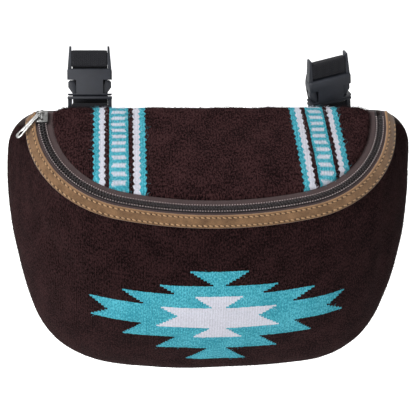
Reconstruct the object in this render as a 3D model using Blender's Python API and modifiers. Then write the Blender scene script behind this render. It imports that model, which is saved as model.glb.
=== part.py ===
"""Pommel pouch: a half-round woven bag with a curved top zip and two buckled strap loops behind it.

Metres, +Z up. The back panel's outer face lies in the plane y = 0 and the bag bulges towards -Y.
The origin is the middle of the back panel's top edge, midway between the strap loops.
"""

import math

import bmesh
import bpy
from mathutils import Matrix, Vector

# Clearance between neighbouring pieces
GAP = 0.0003

# Back panel, a half-round outline of arcs: each radius has the angle that it turns through
BACK_THICKNESS = 0.0028
BACK_POINTS = 72
TOP_EDGE_HALF = 0.1214
SHOULDER_RADIUS = 0.0286
SHOULDER_TURN = 85.4
SIDE_RADIUS = 0.2886
SIDE_TURN = 24.5
CORNER_RADIUS = 0.072
CORNER_TURN = 63.6

# Zip path, in a plane that slopes down from the top edge to the front
ZIP_SLOPE = 37.0
ZIP_HALF_WIDTH = 0.1243
ZIP_STRAIGHT = 0.0056
ZIP_CORNER_RADIUS = 0.0755
ZIP_CORNER_TURN = 76.8
ZIP_STEP = 0.004

# Zip section, measured outwards from the middle of the coil and up from the tape
TAPE_THICKNESS = 0.0008
TAPE_INNER = 0.0013
UPPER_TAPE_WIDTH = 0.0074
LOWER_TAPE_WIDTH = 0.0039
COIL_HALF_WIDTH = 0.0029
COIL_SPINE = 0.0017
COIL_HEIGHT = 0.0019
TOOTH_PITCH = 0.0033
TOOTH_WIDTH = 0.0013
TOOTH_REACH = 0.0009

# Leather trim round the zip
TRIM_WIDTH = 0.0095
TRIM_THICKNESS = 0.0016
TRIM_TILT_FRONT = 28.6
TRIM_TILT_END = 40.0

# Woven panels
WOOL_THICKNESS = 0.0034
PANEL_TUCK = 0.0030
TOP_BULGE = 0.0045
TOP_SIDE_GAP = 0.0036
TOP_BACK_EDGE = -0.0014
TOP_RISE = 0.0030
FRONT_FULLNESS = 0.22
SEAM_FULLNESS = 0.545
SEAM_FLARE = 0.106
SEAM_START = 47.9
PANEL_COLUMNS = 40
PANEL_ROWS = 10
FACET = 8

# Slider, which runs on the arc at the left corner of the zip
SLIDER_PLACE = 0.0065
SLIDER_LENGTH = 0.0105
SLIDER_WIDTH = 0.0084
SLIDER_PLATE = 0.0010
SLIDER_POST_RADIUS = 0.0009
SLIDER_POST_PLACE = -0.0036
SLIDER_ROUNDING = 0.0006
BRIDGE_HEIGHT = 0.0033
BRIDGE_SHOULDER = 0.0020
BRIDGE_FOOT = 0.0036
BRIDGE_CROWN = 0.0025
BRIDGE_WIDENING = 1.6
BRIDGE_RADIUS = 0.00055
RING_RADIUS = 0.0019
RING_WIRE = 0.00045
RING_STEPS = 24
TAB_LENGTH = 0.0235
TAB_WIDTH = 0.0046
TAB_THICKNESS = 0.0010
TAB_EYE = 0.0009
TAB_EYE_WALL = 0.0010
TAB_NECK = 0.0029
TAB_SLOT = (0.0024, 0.0011)
TAB_SLOT_END = 0.0044
TAB_DIRECTION = Vector((-0.665, -0.365, -0.652))

# Straps and side-release buckles, with heights up from the tongue's bar
STRAP_HALF_SPACING = 0.090
STRAP_OFFSET = 0.0095
WEB_WIDTH = 0.025
WEB_THICKNESS = 0.0015
WEB_TAIL = 0.048
WEB_STEP = 0.0022
BUCKLE_WIDTH = 0.033
SOCKET_DEPTH = 0.010
SOCKET_MOUTH = 0.009
SOCKET_HEIGHT = 0.020
SOCKET_WALL = 0.0021
SOCKET_SIDE_WALL = 0.0029
SOCKET_ROOF = 0.0035
SOCKET_ROUNDING = 0.0016
WINDOW_INNER = 0.0099
WINDOW_BAND = 0.0016
WINDOW_HEIGHT = 0.0102
EAR_WIDTH = 0.0032
EAR_HEIGHT = 0.0164
EAR_DEPTH = 0.0056
WEB_SLOT = 0.0030
TOP_BAR_HEIGHT = 0.0086
TOP_BAR_DEPTH = 0.0025
TONGUE_DEPTH = 0.0052
TONGUE_BAR_RADIUS = 0.00175
SHOULDER_HEIGHT = 0.0023
SHOULDER_DEPTH = 0.0080
SHOULDER_ROUNDING = 0.0006
RAIL_BELOW_BAR = 0.0008
JOIN = 0.0007
GUIDE_WIDTH = 0.006
GUIDE_LENGTH = 0.015
ARM_DEPTH = 0.0046
ARM_WIDTH = 0.0026
HOOK_REACH = 0.0006
HOOK_NOSE = 0.0014
ARM_ROOT_INSET = 0.0004

# Left and right buckle as they hang: bar height, lean, turn and pitch
BUCKLES = {
    "left": (-STRAP_HALF_SPACING, -0.0007, 0.0, 0.0, 15.0),
    "right": (STRAP_HALF_SPACING, -0.0020, -11.0, 12.0, -14.0),
}

COLOURS = {
    "wool": ((0.030, 0.014, 0.014, 1.0), 0.95, 0.0),
    "back_cloth": ((0.020, 0.012, 0.010, 1.0), 0.9, 0.0),
    "tape": ((0.090, 0.062, 0.066, 1.0), 0.85, 0.0),
    "coil": ((0.050, 0.038, 0.036, 1.0), 0.5, 0.0),
    "suede": ((0.300, 0.170, 0.080, 1.0), 0.8, 0.0),
    "metal": ((0.600, 0.600, 0.600, 1.0), 0.3, 1.0),
    "plastic": ((0.045, 0.048, 0.054, 1.0), 0.45, 0.0),
    "webbing": ((0.028, 0.027, 0.027, 1.0), 0.85, 0.0),
}


def clear_scene():
    for obj in list(bpy.data.objects):
        bpy.data.objects.remove(obj, do_unlink=True)


def new_collection(name):
    collection = bpy.data.collections.new(name)
    bpy.context.scene.collection.children.link(collection)
    return collection


def material(name):
    colour, roughness, metallic = COLOURS[name]
    made = bpy.data.materials.get(name) or bpy.data.materials.new(name)
    made.use_nodes = True
    shader = made.node_tree.nodes["Principled BSDF"]
    shader.inputs["Base Color"].default_value = colour
    shader.inputs["Roughness"].default_value = roughness
    shader.inputs["Metallic"].default_value = metallic
    made.diffuse_color = colour
    return made


def add_object(name, mesh, collection, slot=None, parent=None):
    """A new object; with a parent, its mesh is in the parent's coordinates."""
    obj = bpy.data.objects.new(name, mesh)
    collection.objects.link(obj)
    if slot:
        mesh.materials.append(material(slot))
    if parent:
        obj.parent = parent
    return obj


def add_empty(name, matrix, collection):
    empty = bpy.data.objects.new(name, None)
    empty.empty_display_size = 0.01
    empty.matrix_world = matrix
    collection.objects.link(empty)
    return empty


def mesh_from(name, bm):
    bmesh.ops.recalc_face_normals(bm, faces=bm.faces)
    mesh = bpy.data.meshes.new(name)
    bm.to_mesh(mesh)
    bm.free()
    return mesh


def loft(name, sections):
    """A closed solid through a row of closed outlines with the same number of points."""
    bm = bmesh.new()
    rings = [[bm.verts.new(p) for p in section] for section in sections]
    for ring, following in zip(rings, rings[1:]):
        for i in range(len(ring)):
            j = (i + 1) % len(ring)
            bm.faces.new((ring[i], ring[j], following[j], following[i]))
    bm.faces.new(rings[0])
    bm.faces.new(rings[-1])
    return mesh_from(name, bm)


def surface(name, rows):
    """An open sheet through a grid of points, with the same number of points in each row."""
    bm = bmesh.new()
    grid = [[bm.verts.new(p) for p in row] for row in rows]
    for row, following in zip(grid, grid[1:]):
        for i in range(len(row) - 1):
            bm.faces.new((row[i], row[i + 1], following[i + 1], following[i]))
    mesh = bpy.data.meshes.new(name)
    bm.to_mesh(mesh)
    bm.free()
    return mesh


def box(name, low, high):
    """A box between two opposite corners."""
    low = Vector(low)
    high = Vector(high)
    bm = bmesh.new()
    bmesh.ops.create_cube(bm, size=1.0)
    bmesh.ops.scale(bm, vec=high - low, verts=bm.verts)
    bmesh.ops.translate(bm, vec=(low + high) / 2, verts=bm.verts)
    return mesh_from(name, bm)


def rod(name, radius, length, matrix, sides=16):
    """A cylinder about the Z axis of the matrix, centred on its origin."""
    bm = bmesh.new()
    bmesh.ops.create_cone(
        bm, cap_ends=True, segments=sides, radius1=radius, radius2=radius, depth=length, matrix=matrix
    )
    return mesh_from(name, bm)


def plate(name, outline, thickness, matrix, collection):
    """A flat outline in the XY plane of the matrix, as thick on both sides of it, made a mesh."""
    curve = bpy.data.curves.new(name + "_outline", "CURVE")
    curve.dimensions = "2D"
    curve.fill_mode = "BOTH"
    curve.extrude = thickness / 2
    for points in outline:
        spline = curve.splines.new("POLY")
        spline.points.add(len(points) - 1)
        for point, (x, y) in zip(spline.points, points):
            point.co = (x, y, 0.0, 1.0)
        spline.use_cyclic_u = True
    holder = bpy.data.objects.new(name + "_outline", curve)
    collection.objects.link(holder)
    graph = bpy.context.evaluated_depsgraph_get()
    mesh = bpy.data.meshes.new_from_object(holder.evaluated_get(graph))
    bpy.data.objects.remove(holder, do_unlink=True)
    bpy.data.curves.remove(curve)
    bm = bmesh.new()
    bm.from_mesh(mesh)
    bpy.data.meshes.remove(mesh)
    bmesh.ops.remove_doubles(bm, verts=bm.verts, dist=1e-6)
    bmesh.ops.transform(bm, matrix=matrix, verts=bm.verts)
    return mesh_from(name, bm)


def boolean(obj, other_mesh, operation, cutters):
    """Cuts or joins another mesh, given in the object's own coordinates."""
    name = f"{obj.name}_{operation.lower()}_{len(obj.modifiers)}"
    other = add_object(name, other_mesh, cutters, parent=obj.parent)
    other.hide_render = True
    other.display_type = "WIRE"
    modifier = obj.modifiers.new(operation.title(), "BOOLEAN")
    modifier.operation = operation
    modifier.object = other
    return other


def bevel(obj, width, segments=2):
    modifier = obj.modifiers.new("Rounded edges", "BEVEL")
    modifier.width = width
    modifier.segments = segments
    modifier.limit_method = "ANGLE"
    modifier.angle_limit = math.radians(40)


def smooth(obj, angle=35):
    obj.data.shade_smooth()
    obj.data.set_sharp_from_angle(angle=math.radians(angle))


class Chain:
    """A flat path of straight lines and arcs that turn left. Each piece is a length and a turn in radians."""

    def __init__(self, start, heading, pieces):
        self.start = Vector(start)
        self.heading = heading
        self.pieces = pieces
        self.length = sum(length for length, _ in pieces)

    def at(self, distance):
        """The point and the heading at a distance along the path."""
        point = self.start.copy()
        heading = self.heading
        left = distance
        for length, turn in self.pieces:
            step = min(left, length)
            if turn == 0:
                point = point + step * Vector((math.cos(heading), math.sin(heading)))
            else:
                radius = length / turn
                centre = point + radius * Vector((-math.sin(heading), math.cos(heading)))
                heading += step / radius
                point = centre + radius * Vector((math.sin(heading), -math.cos(heading)))
            left -= step
            if left <= 0:
                break
        return point, heading


def arc(radius, degrees):
    turn = math.radians(degrees)
    return radius * turn, turn


def zip_path():
    """The middle line of the coil in the zip's plane, from the left end round the front to the right end."""
    corner = math.radians(ZIP_CORNER_TURN)
    at_front = ZIP_HALF_WIDTH - ZIP_CORNER_RADIUS * (1 - math.cos(corner))
    front_radius = at_front / math.cos(corner)
    pieces = [
        (ZIP_STRAIGHT, 0.0),
        arc(ZIP_CORNER_RADIUS, ZIP_CORNER_TURN),
        arc(front_radius, 180 - 2 * ZIP_CORNER_TURN),
        arc(ZIP_CORNER_RADIUS, ZIP_CORNER_TURN),
        (ZIP_STRAIGHT, 0.0),
    ]
    return Chain((-ZIP_HALF_WIDTH, 0.0), math.radians(-90), pieces)


def seam_path():
    """The back panel's outline from the left end of its top edge, down and round, to the right end."""
    half = [arc(SHOULDER_RADIUS, SHOULDER_TURN), arc(SIDE_RADIUS, SIDE_TURN), arc(CORNER_RADIUS, CORNER_TURN)]
    to_corner = Chain((-TOP_EDGE_HALF, 0.0), math.radians(180), half)
    at_corner, _ = to_corner.at(to_corner.length)
    bottom_half = 180 - SHOULDER_TURN - SIDE_TURN - CORNER_TURN
    bottom_radius = -at_corner.x / math.sin(math.radians(bottom_half))
    pieces = half + [arc(bottom_radius, 2 * bottom_half)] + half[::-1]
    return Chain((-TOP_EDGE_HALF, 0.0), math.radians(180), pieces)


ZIP = zip_path()
SEAM = seam_path()
ZIP_PLANE = Matrix.Translation((0.0, -BACK_THICKNESS - 2 * GAP, 0.0)) @ Matrix.Rotation(
    math.radians(ZIP_SLOPE), 4, "X"
)
PANEL_EDGE = TAPE_INNER + LOWER_TAPE_WIDTH + GAP
COIL_START = SLIDER_PLACE - 0.15 * SLIDER_LENGTH


def on_zip(distance, outwards, up):
    """A point in the zip's plane coordinates, beside the coil's middle line."""
    point, heading = ZIP.at(distance)
    x = point.x + outwards * math.sin(heading)
    y = point.y - outwards * math.cos(heading)
    return Vector((x, y, up))


def trim_direction(distance):
    """Which way the front panel leaves the zip: outwards and down, steeper at the ends than at the front."""
    _, heading = ZIP.at(distance)
    outwards = ZIP_PLANE.to_3x3() @ Vector((math.sin(heading), -math.cos(heading), 0.0))
    at_end = abs(math.sin(heading))
    tilt = math.radians(TRIM_TILT_FRONT + (TRIM_TILT_END - TRIM_TILT_FRONT) * at_end**2)
    return (math.cos(tilt) * outwards + math.sin(tilt) * Vector((0, 0, -1))).normalized()


def trim_frame(distance):
    """The trim's inner upper edge, its direction and its outward normal, in world coordinates."""
    edge = ZIP_PLANE @ on_zip(distance, PANEL_EDGE, TRIM_THICKNESS + GAP)
    direction = trim_direction(distance)
    _, heading = ZIP.at(distance)
    along = ZIP_PLANE.to_3x3() @ Vector((math.cos(heading), math.sin(heading), 0.0))
    normal = direction.cross(along).normalized()
    if normal.z < 0:
        normal.negate()
    return edge, direction, normal


def zip_distances(start, end, step):
    count = max(2, round((end - start) / step))
    return [start + (end - start) * i / count for i in range(count + 1)]


def bezier(p0, p1, p2, p3, count):
    points = []
    for i in range(count + 1):
        t = i / count
        s = 1 - t
        points.append(s**3 * p0 + 3 * s * s * t * p1 + 3 * s * t * t * p2 + t**3 * p3)
    return points


def front_section(fraction):
    """One line down the front panel's outer face, from under the trim to the seam with the back panel."""
    distance = WOOL_THICKNESS + fraction * (ZIP.length - 2 * WOOL_THICKNESS)
    edge, direction, normal = trim_frame(distance)
    start = edge - (TRIM_THICKNESS + GAP) * normal + PANEL_TUCK * direction
    bend = start + (TRIM_WIDTH - PANEL_TUCK) * direction
    first = SHOULDER_RADIUS * math.radians(SEAM_START)
    seam, heading = SEAM.at(first + fraction * (SEAM.length - 2 * first))
    outwards = Vector((math.sin(heading), 0.0, -math.cos(heading)))
    end = Vector((seam.x, -BACK_THICKNESS, seam.y))
    reach = (end - bend).length
    at_side = abs(outwards.x)
    leaving = (Vector((0, -1, 0)) + SEAM_FLARE * at_side * outwards).normalized()
    curve = bezier(
        bend,
        bend + FRONT_FULLNESS * reach * direction,
        end + SEAM_FULLNESS * reach * leaving,
        end,
        PANEL_ROWS,
    )
    return [start, (start + bend) / 2] + curve


def make_front_panel(parts, cutters):
    rows = [front_section(i / PANEL_COLUMNS) for i in range(PANEL_COLUMNS + 1)]
    obj = add_object("front_panel", surface("front_panel", rows), parts, "wool")
    thicken(obj, Vector((0, -1, -0.5)))
    meet_back_panel(obj, cutters)


def meet_back_panel(obj, cutters):
    """Trims what reaches past the inner face of the back panel."""
    slab = box("behind", (-0.25, -BACK_THICKNESS - GAP, -0.35), (0.25, 0.05, 0.1))
    boolean(obj, slab, "DIFFERENCE", cutters)


def thicken(obj, outside):
    """Gives a sheet its thickness on the side away from a direction that points out of the bag."""
    mesh = obj.data
    middle = mesh.polygons[len(mesh.polygons) // 2]
    if middle.normal.dot(outside) < 0:
        mesh.flip_normals()
    modifier = obj.modifiers.new("Cloth", "SOLIDIFY")
    modifier.thickness = WOOL_THICKNESS
    modifier.offset = -1.0
    modifier.use_even_offset = False
    smooth(obj, 50)


def make_top_panel(parts):
    """The flap between the top edge and the zip, a little full in the middle."""
    outer = -(TAPE_INNER + UPPER_TAPE_WIDTH + GAP)
    first = TOP_SIDE_GAP
    half = ZIP_HALF_WIDTH + outer
    rows = []
    for i in range(PANEL_COLUMNS + 1):
        fraction = i / PANEL_COLUMNS
        at_zip = on_zip(first + fraction * (ZIP.length - 2 * first), outer, TOP_RISE)
        at_back = Vector((half * (2 * fraction - 1), TOP_BACK_EDGE, TOP_RISE))
        row = []
        for j in range(PANEL_ROWS + 1):
            across = j / PANEL_ROWS
            point = at_back.lerp(at_zip, across)
            fullness = TOP_BULGE * (at_zip - at_back).length / ZIP_HALF_WIDTH
            point.z += fullness * math.sin(math.pi * across)
            row.append(ZIP_PLANE @ point)
        rows.append(row)
    obj = add_object("top_panel", surface("top_panel", rows), parts, "wool")
    thicken(obj, Vector((0, -0.5, 1)))


def make_back_panel(parts):
    outline = [tuple(SEAM.at(SEAM.length * i / BACK_POINTS)[0]) for i in range(BACK_POINTS + 1)]
    stand = Matrix.Translation((0.0, -BACK_THICKNESS / 2, 0.0)) @ Matrix.Rotation(math.radians(90), 4, "X")
    mesh = plate("back_panel", [outline], BACK_THICKNESS, stand, parts)
    add_object("back_panel", mesh, parts, "back_cloth")


def make_tape(name, inner, outer, parts, plane):
    sections = []
    for distance in zip_distances(0.0, ZIP.length, ZIP_STEP):
        sections.append(
            [
                on_zip(distance, inner, 0.0),
                on_zip(distance, outer, 0.0),
                on_zip(distance, outer, -TAPE_THICKNESS),
                on_zip(distance, inner, -TAPE_THICKNESS),
            ]
        )
    obj = add_object(name, loft(name, sections), parts, "tape", plane)
    smooth(obj)


def make_coil(name, side, shift, parts, plane):
    """One row of the zip: a spine along the tape with teeth that reach between those of the other row."""
    bm = bmesh.new()
    up = GAP + COIL_HEIGHT
    count = int((ZIP.length - COIL_START - 2 * TOOTH_PITCH) / TOOTH_PITCH)
    previous = None
    for i in range(count):
        start = COIL_START + i * TOOTH_PITCH + shift
        stops = [start, start + TOOTH_WIDTH]
        ring = []
        for distance in stops:
            outer = bm.verts.new(on_zip(distance, side * COIL_HALF_WIDTH, up))
            inner = bm.verts.new(on_zip(distance, side * (COIL_HALF_WIDTH - COIL_SPINE), up))
            tip = bm.verts.new(on_zip(distance, -side * TOOTH_REACH, up))
            ring.append((outer, inner, tip))
        (outer_a, inner_a, tip_a), (outer_b, inner_b, tip_b) = ring
        bm.faces.new((outer_a, outer_b, inner_b, inner_a))
        bm.faces.new((inner_a, inner_b, tip_b, tip_a))
        if previous:
            bm.faces.new((previous[0], outer_a, inner_a, previous[1]))
        previous = (outer_b, inner_b)
    mesh = mesh_from(name, bm)
    if mesh.polygons[0].normal.z < 0:
        mesh.flip_normals()
    obj = add_object(name, mesh, parts, "coil", plane)
    modifier = obj.modifiers.new("Coil height", "SOLIDIFY")
    modifier.thickness = COIL_HEIGHT
    modifier.offset = -1.0


def make_trim(parts):
    sections = []
    for distance in zip_distances(TRIM_THICKNESS / 2, ZIP.length - TRIM_THICKNESS / 2, ZIP_STEP):
        edge, direction, normal = trim_frame(distance)
        far = edge + TRIM_WIDTH * direction
        down = -TRIM_THICKNESS * normal
        sections.append([edge, far, far + down, edge + down])
    obj = add_object("leather_trim", loft("leather_trim", sections), parts, "suede")
    smooth(obj)


def make_slider(parts, cutters):
    """The slider, on an empty at the centre of the zip's left corner arc, which it turns about."""
    start = ZIP.at(ZIP_STRAIGHT)[0]
    centre = Vector((start.x + ZIP_CORNER_RADIUS, start.y, 0.0))
    pivot = add_empty("slider_pivot", ZIP_PLANE @ Matrix.Translation(centre), parts)
    swing = (SLIDER_PLACE - ZIP_STRAIGHT) / ZIP_CORNER_RADIUS
    # Here X runs outwards from the arc's centre, Y along the slider's travel and Z up from the tape
    place = Matrix.Rotation(math.pi + swing, 4, "Z") @ Matrix.Translation((ZIP_CORNER_RADIUS, 0.0, 0.0))
    low = -TAPE_THICKNESS - GAP
    high = GAP + COIL_HEIGHT + GAP
    half_l = SLIDER_LENGTH / 2
    half_w = SLIDER_WIDTH / 2
    channel = COIL_HALF_WIDTH + GAP
    body = add_object(
        "zip_slider_body",
        box("zip_slider_body", (-half_w, -half_l, low - SLIDER_PLATE), (half_w, half_l, high + SLIDER_PLATE)),
        parts,
        "metal",
        pivot,
    )
    body.data.transform(place)
    bevel(body, SLIDER_ROUNDING)

    def cut(low_corner, high_corner):
        mesh = box("slider_channel", low_corner, high_corner)
        mesh.transform(place)
        boolean(body, mesh, "DIFFERENCE", cutters)

    cut((-channel, -SLIDER_LENGTH, low), (channel, SLIDER_LENGTH, high))
    cut((-SLIDER_WIDTH, -SLIDER_LENGTH, low), (SLIDER_WIDTH, SLIDER_LENGTH, GAP))
    post_place = place @ Matrix.Translation((0.0, SLIDER_POST_PLACE, (low + high) / 2))
    post = rod("slider_post", SLIDER_POST_RADIUS, high - low + SLIDER_PLATE, post_place)
    boolean(body, post, "UNION", cutters)

    # Bridge over the slider that carries the pull's ring
    top = high + SLIDER_PLATE
    crown = top + BRIDGE_HEIGHT
    arch = [
        Vector((0, -BRIDGE_FOOT, top - SLIDER_PLATE / 2)),
        Vector((0, -BRIDGE_FOOT, top + BRIDGE_SHOULDER)),
        Vector((0, -BRIDGE_CROWN, crown)),
        Vector((0, BRIDGE_CROWN, crown)),
        Vector((0, BRIDGE_FOOT, top + BRIDGE_SHOULDER)),
        Vector((0, BRIDGE_FOOT, top - SLIDER_PLATE / 2)),
    ]
    sections = []
    for i, point in enumerate(arch):
        before = arch[max(i - 1, 0)]
        after = arch[min(i + 1, len(arch) - 1)]
        along = (after - before).normalized()
        normal = Vector((1, 0, 0)).cross(along)
        wide = Vector((BRIDGE_WIDENING, 0, 0))
        ring = []
        for angle in circle_angles(FACET):
            ring.append(point + BRIDGE_RADIUS * (math.cos(angle) * wide + math.sin(angle) * normal))
        sections.append(ring)
    bridge = loft("slider_bridge", sections)
    bridge.transform(place)
    boolean(body, bridge, "UNION", cutters)
    smooth(body)
    bar = ZIP_PLANE @ Matrix.Translation(centre) @ place @ Vector((0, 0, crown))
    travel = (ZIP_PLANE.to_3x3() @ place.to_3x3() @ Vector((0, 1, 0))).normalized()
    return bar, travel


def make_pull(bar, travel, parts):
    """Ring and tab, on an empty on the slider's bridge: the ring hangs out, the tab lies along the side."""
    along = TAB_DIRECTION.normalized()
    outwards = (along - along.dot(travel) * travel).normalized()
    across = travel.cross(outwards).normalized()
    pivot = add_empty("pull_pivot", Matrix.Translation(bar), parts)
    ring_offset = RING_RADIUS - RING_WIRE - BRIDGE_RADIUS - GAP
    ring_frame = Matrix((outwards, across, travel)).transposed().to_4x4()
    ring_frame.translation = outwards * ring_offset
    bm = bmesh.new()
    rings = []
    for turn in circle_angles(RING_STEPS):
        spoke = Vector((math.cos(turn), math.sin(turn), 0))
        ring = []
        for angle in circle_angles(FACET):
            out = spoke * (RING_RADIUS + RING_WIRE * math.cos(angle))
            point = out + Vector((0, 0, RING_WIRE * math.sin(angle)))
            ring.append(bm.verts.new(ring_frame @ point))
        rings.append(ring)
    for i in range(RING_STEPS):
        following = rings[(i + 1) % RING_STEPS]
        for k in range(FACET):
            m = (k + 1) % FACET
            bm.faces.new((rings[i][k], rings[i][m], following[m], following[k]))
    smooth(add_object("zip_pull_ring", mesh_from("zip_pull_ring", bm), parts, "metal", pivot), 60)

    # The tab's length runs along X from the middle of its eye
    side = across.cross(along).normalized()
    tab_frame = Matrix((along, side, across)).transposed().to_4x4()
    tab_frame.translation = outwards * (ring_offset + RING_RADIUS)
    half = TAB_WIDTH / 2
    eye_end = TAB_EYE + TAB_EYE_WALL
    outline = []
    for k in range(9):
        angle = math.pi / 2 + math.pi * k / 8
        outline.append((eye_end * math.cos(angle), TAB_NECK / 2 * math.sin(angle)))
    tip = TAB_LENGTH - half
    for k in range(9):
        angle = -math.pi / 2 + math.pi * k / 8
        outline.append((tip + half * math.cos(angle), half * math.sin(angle)))
    eye = [(TAB_EYE * math.cos(a), TAB_EYE * math.sin(a)) for a in circle_angles(14)]
    slot_x = TAB_LENGTH - TAB_SLOT_END
    slot = [(slot_x + TAB_SLOT[0] * math.cos(a), TAB_SLOT[1] * math.sin(a)) for a in circle_angles(16)]
    mesh = plate("zip_pull_tab", [outline, eye, slot], TAB_THICKNESS, tab_frame, parts)
    smooth(add_object("zip_pull_tab", mesh, parts, "metal", pivot))


def circle_angles(count):
    return [2 * math.pi * k / count for k in range(count)]


def hang(pivot, lean, turn, pitch, share=1.0):
    """The buckle's frame about its tongue bar, with the given share of its lean, turn and pitch."""
    rotation = (
        Matrix.Rotation(math.radians(turn * share), 4, "Z")
        @ Matrix.Rotation(math.radians(lean * share), 4, "Y")
        @ Matrix.Rotation(math.radians(-pitch * share), 4, "X")
    )
    return Matrix.Translation(pivot) @ rotation


def make_socket(side, frame, parts, cutters):
    """The buckle's hollow half, open at the bottom, with side windows and a bar at the top for the web."""
    half = BUCKLE_WIDTH / 2
    deep = SOCKET_DEPTH / 2
    low = SOCKET_MOUTH
    high = SOCKET_MOUTH + SOCKET_HEIGHT
    inside = half - SOCKET_SIDE_WALL
    name = f"{side}_buckle_socket"
    body = add_object(name, box(name, (-half, -deep, low), (half, deep, high)), parts, "plastic", frame)
    bevel(body, SOCKET_ROUNDING, 3)
    hollow = deep - SOCKET_WALL
    boolean(
        body,
        box("hollow", (-inside, -hollow, low - SOCKET_WALL), (inside, hollow, high - SOCKET_ROOF)),
        "DIFFERENCE",
        cutters,
    )
    for x in (-1, 1):
        window_low = low + WINDOW_BAND
        near, far = sorted((x * WINDOW_INNER, x * (half + SOCKET_WALL)))
        boolean(
            body,
            box("window", (near, -2 * deep, window_low), (far, 2 * deep, window_low + WINDOW_HEIGHT)),
            "DIFFERENCE",
            cutters,
        )
    ear_deep = EAR_DEPTH / 2
    for x in (-1, 1):
        near, far = sorted((x * (half - EAR_WIDTH), x * (half - GAP)))
        ear = box("ear", (near, -ear_deep, high - JOIN), (far, ear_deep, high + EAR_HEIGHT))
        boolean(body, ear, "UNION", cutters)
    bar_low = high + WEB_SLOT
    bar = box(
        "top_bar",
        (-half + EAR_WIDTH / 2, -TOP_BAR_DEPTH / 2, bar_low),
        (half - EAR_WIDTH / 2, TOP_BAR_DEPTH / 2, bar_low + TOP_BAR_HEIGHT),
    )
    boolean(body, bar, "UNION", cutters)
    smooth(body)


def make_tongue(side, frame, parts, cutters):
    """The buckle's pronged half: bar, side rails, shoulder, centre guide and two hooked arms."""
    half = BUCKLE_WIDTH / 2
    deep = TONGUE_DEPTH / 2
    top = SOCKET_MOUTH - GAP
    name = f"{side}_buckle_tongue"
    shoulder_deep = SHOULDER_DEPTH / 2
    shoulder = box(name, (-half, -shoulder_deep, top - SHOULDER_HEIGHT), (half, shoulder_deep, top))
    body = add_object(name, shoulder, parts, "plastic", frame)
    bevel(body, SHOULDER_ROUNDING)
    rail_low = -TONGUE_BAR_RADIUS - RAIL_BELOW_BAR
    for x in (-1, 1):
        near, far = sorted((x * (half - EAR_WIDTH), x * (half - GAP)))
        boolean(body, box("rail", (near, -deep, rail_low), (far, deep, top - JOIN)), "UNION", cutters)
    across = Matrix.Rotation(math.radians(90), 4, "Y")
    bar = rod("bar", TONGUE_BAR_RADIUS, BUCKLE_WIDTH - EAR_WIDTH, across)
    boolean(body, bar, "UNION", cutters)
    guide = box(
        "guide",
        (-GUIDE_WIDTH / 2, -ARM_DEPTH / 2, top - JOIN),
        (GUIDE_WIDTH / 2, ARM_DEPTH / 2, top + GUIDE_LENGTH),
    )
    boolean(body, guide, "UNION", cutters)

    # An arm rises inside the mouth, then its hook stands out into the side window
    window_top = SOCKET_MOUTH + WINDOW_BAND + WINDOW_HEIGHT - GAP
    inside = half - SOCKET_SIDE_WALL - GAP * 3
    root = top - JOIN
    reach = half - HOOK_REACH
    for x in (-1, 1):
        outline = [
            (inside - ARM_WIDTH, root),
            (inside - ARM_ROOT_INSET, root),
            (inside, SOCKET_MOUTH + WINDOW_BAND),
            (reach, SOCKET_MOUTH + WINDOW_BAND + 0.45 * WINDOW_HEIGHT),
            (reach, window_top - HOOK_NOSE),
            (reach - HOOK_NOSE, window_top),
            (inside - ARM_WIDTH * 0.4, window_top),
            (inside - ARM_WIDTH, SOCKET_MOUTH + WINDOW_BAND + 0.5 * WINDOW_HEIGHT),
        ]
        outline = [(x * px, pz) for px, pz in outline]
        stand = Matrix.Rotation(math.radians(90), 4, "X")
        boolean(body, plate("arm", [outline], ARM_DEPTH, stand, cutters), "UNION", cutters)
    smooth(body)


def smooth_path(points, step):
    """Points about a step apart on a rounded line through the given ones."""
    padded = [2 * points[0] - points[1]] + points + [2 * points[-1] - points[-2]]
    out = []
    for a, b, c, d in zip(padded, padded[1:], padded[2:], padded[3:]):
        straight = max(a.x, b.x, c.x, d.x) - min(a.x, b.x, c.x, d.x) < 1e-9
        count = 1 if straight else max(1, math.ceil((c - b).length / step))
        for i in range(count):
            t = i / count
            square = (2 * a - 5 * b + 4 * c - d) * t**2
            cube = (3 * b - a - 3 * c + d) * t**3
            out.append(0.5 * (2 * b + (c - a) * t + square + cube))
    out.append(points[-1])
    return out


def make_web(name, route, side, fully_at, none_at, parts):
    """A strap of even width along a route of (y, z) points about the tongue bar.

    Above fully_at it follows the buckle's hang, and below none_at it lies straight on the back panel.
    """
    x, bar_height, lean, turn, pitch = BUCKLES[side]
    pivot = Vector((x, STRAP_OFFSET, bar_height))
    line = smooth_path([Vector(point) for point in route], WEB_STEP)
    sections = []
    for i, point in enumerate(line):
        before = line[max(i - 1, 0)]
        after = line[min(i + 1, len(line) - 1)]
        along = (after - before).normalized()
        normal = Vector((-along.y, along.x)) * WEB_THICKNESS / 2
        share = min(1.0, max(0.0, (point.y - none_at) / (fully_at - none_at)))
        frame = hang(pivot, lean, turn, pitch, share * share * (3 - 2 * share))
        half = WEB_WIDTH / 2
        corners = [(-half, 1), (half, 1), (half, -1), (-half, -1)]
        section = []
        for cx, sign in corners:
            section.append(frame @ Vector((cx, point.x + sign * normal.x, point.y + sign * normal.y)))
        sections.append(section)
    obj = add_object(name, loft(name, sections), parts, "webbing")
    smooth(obj)


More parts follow.
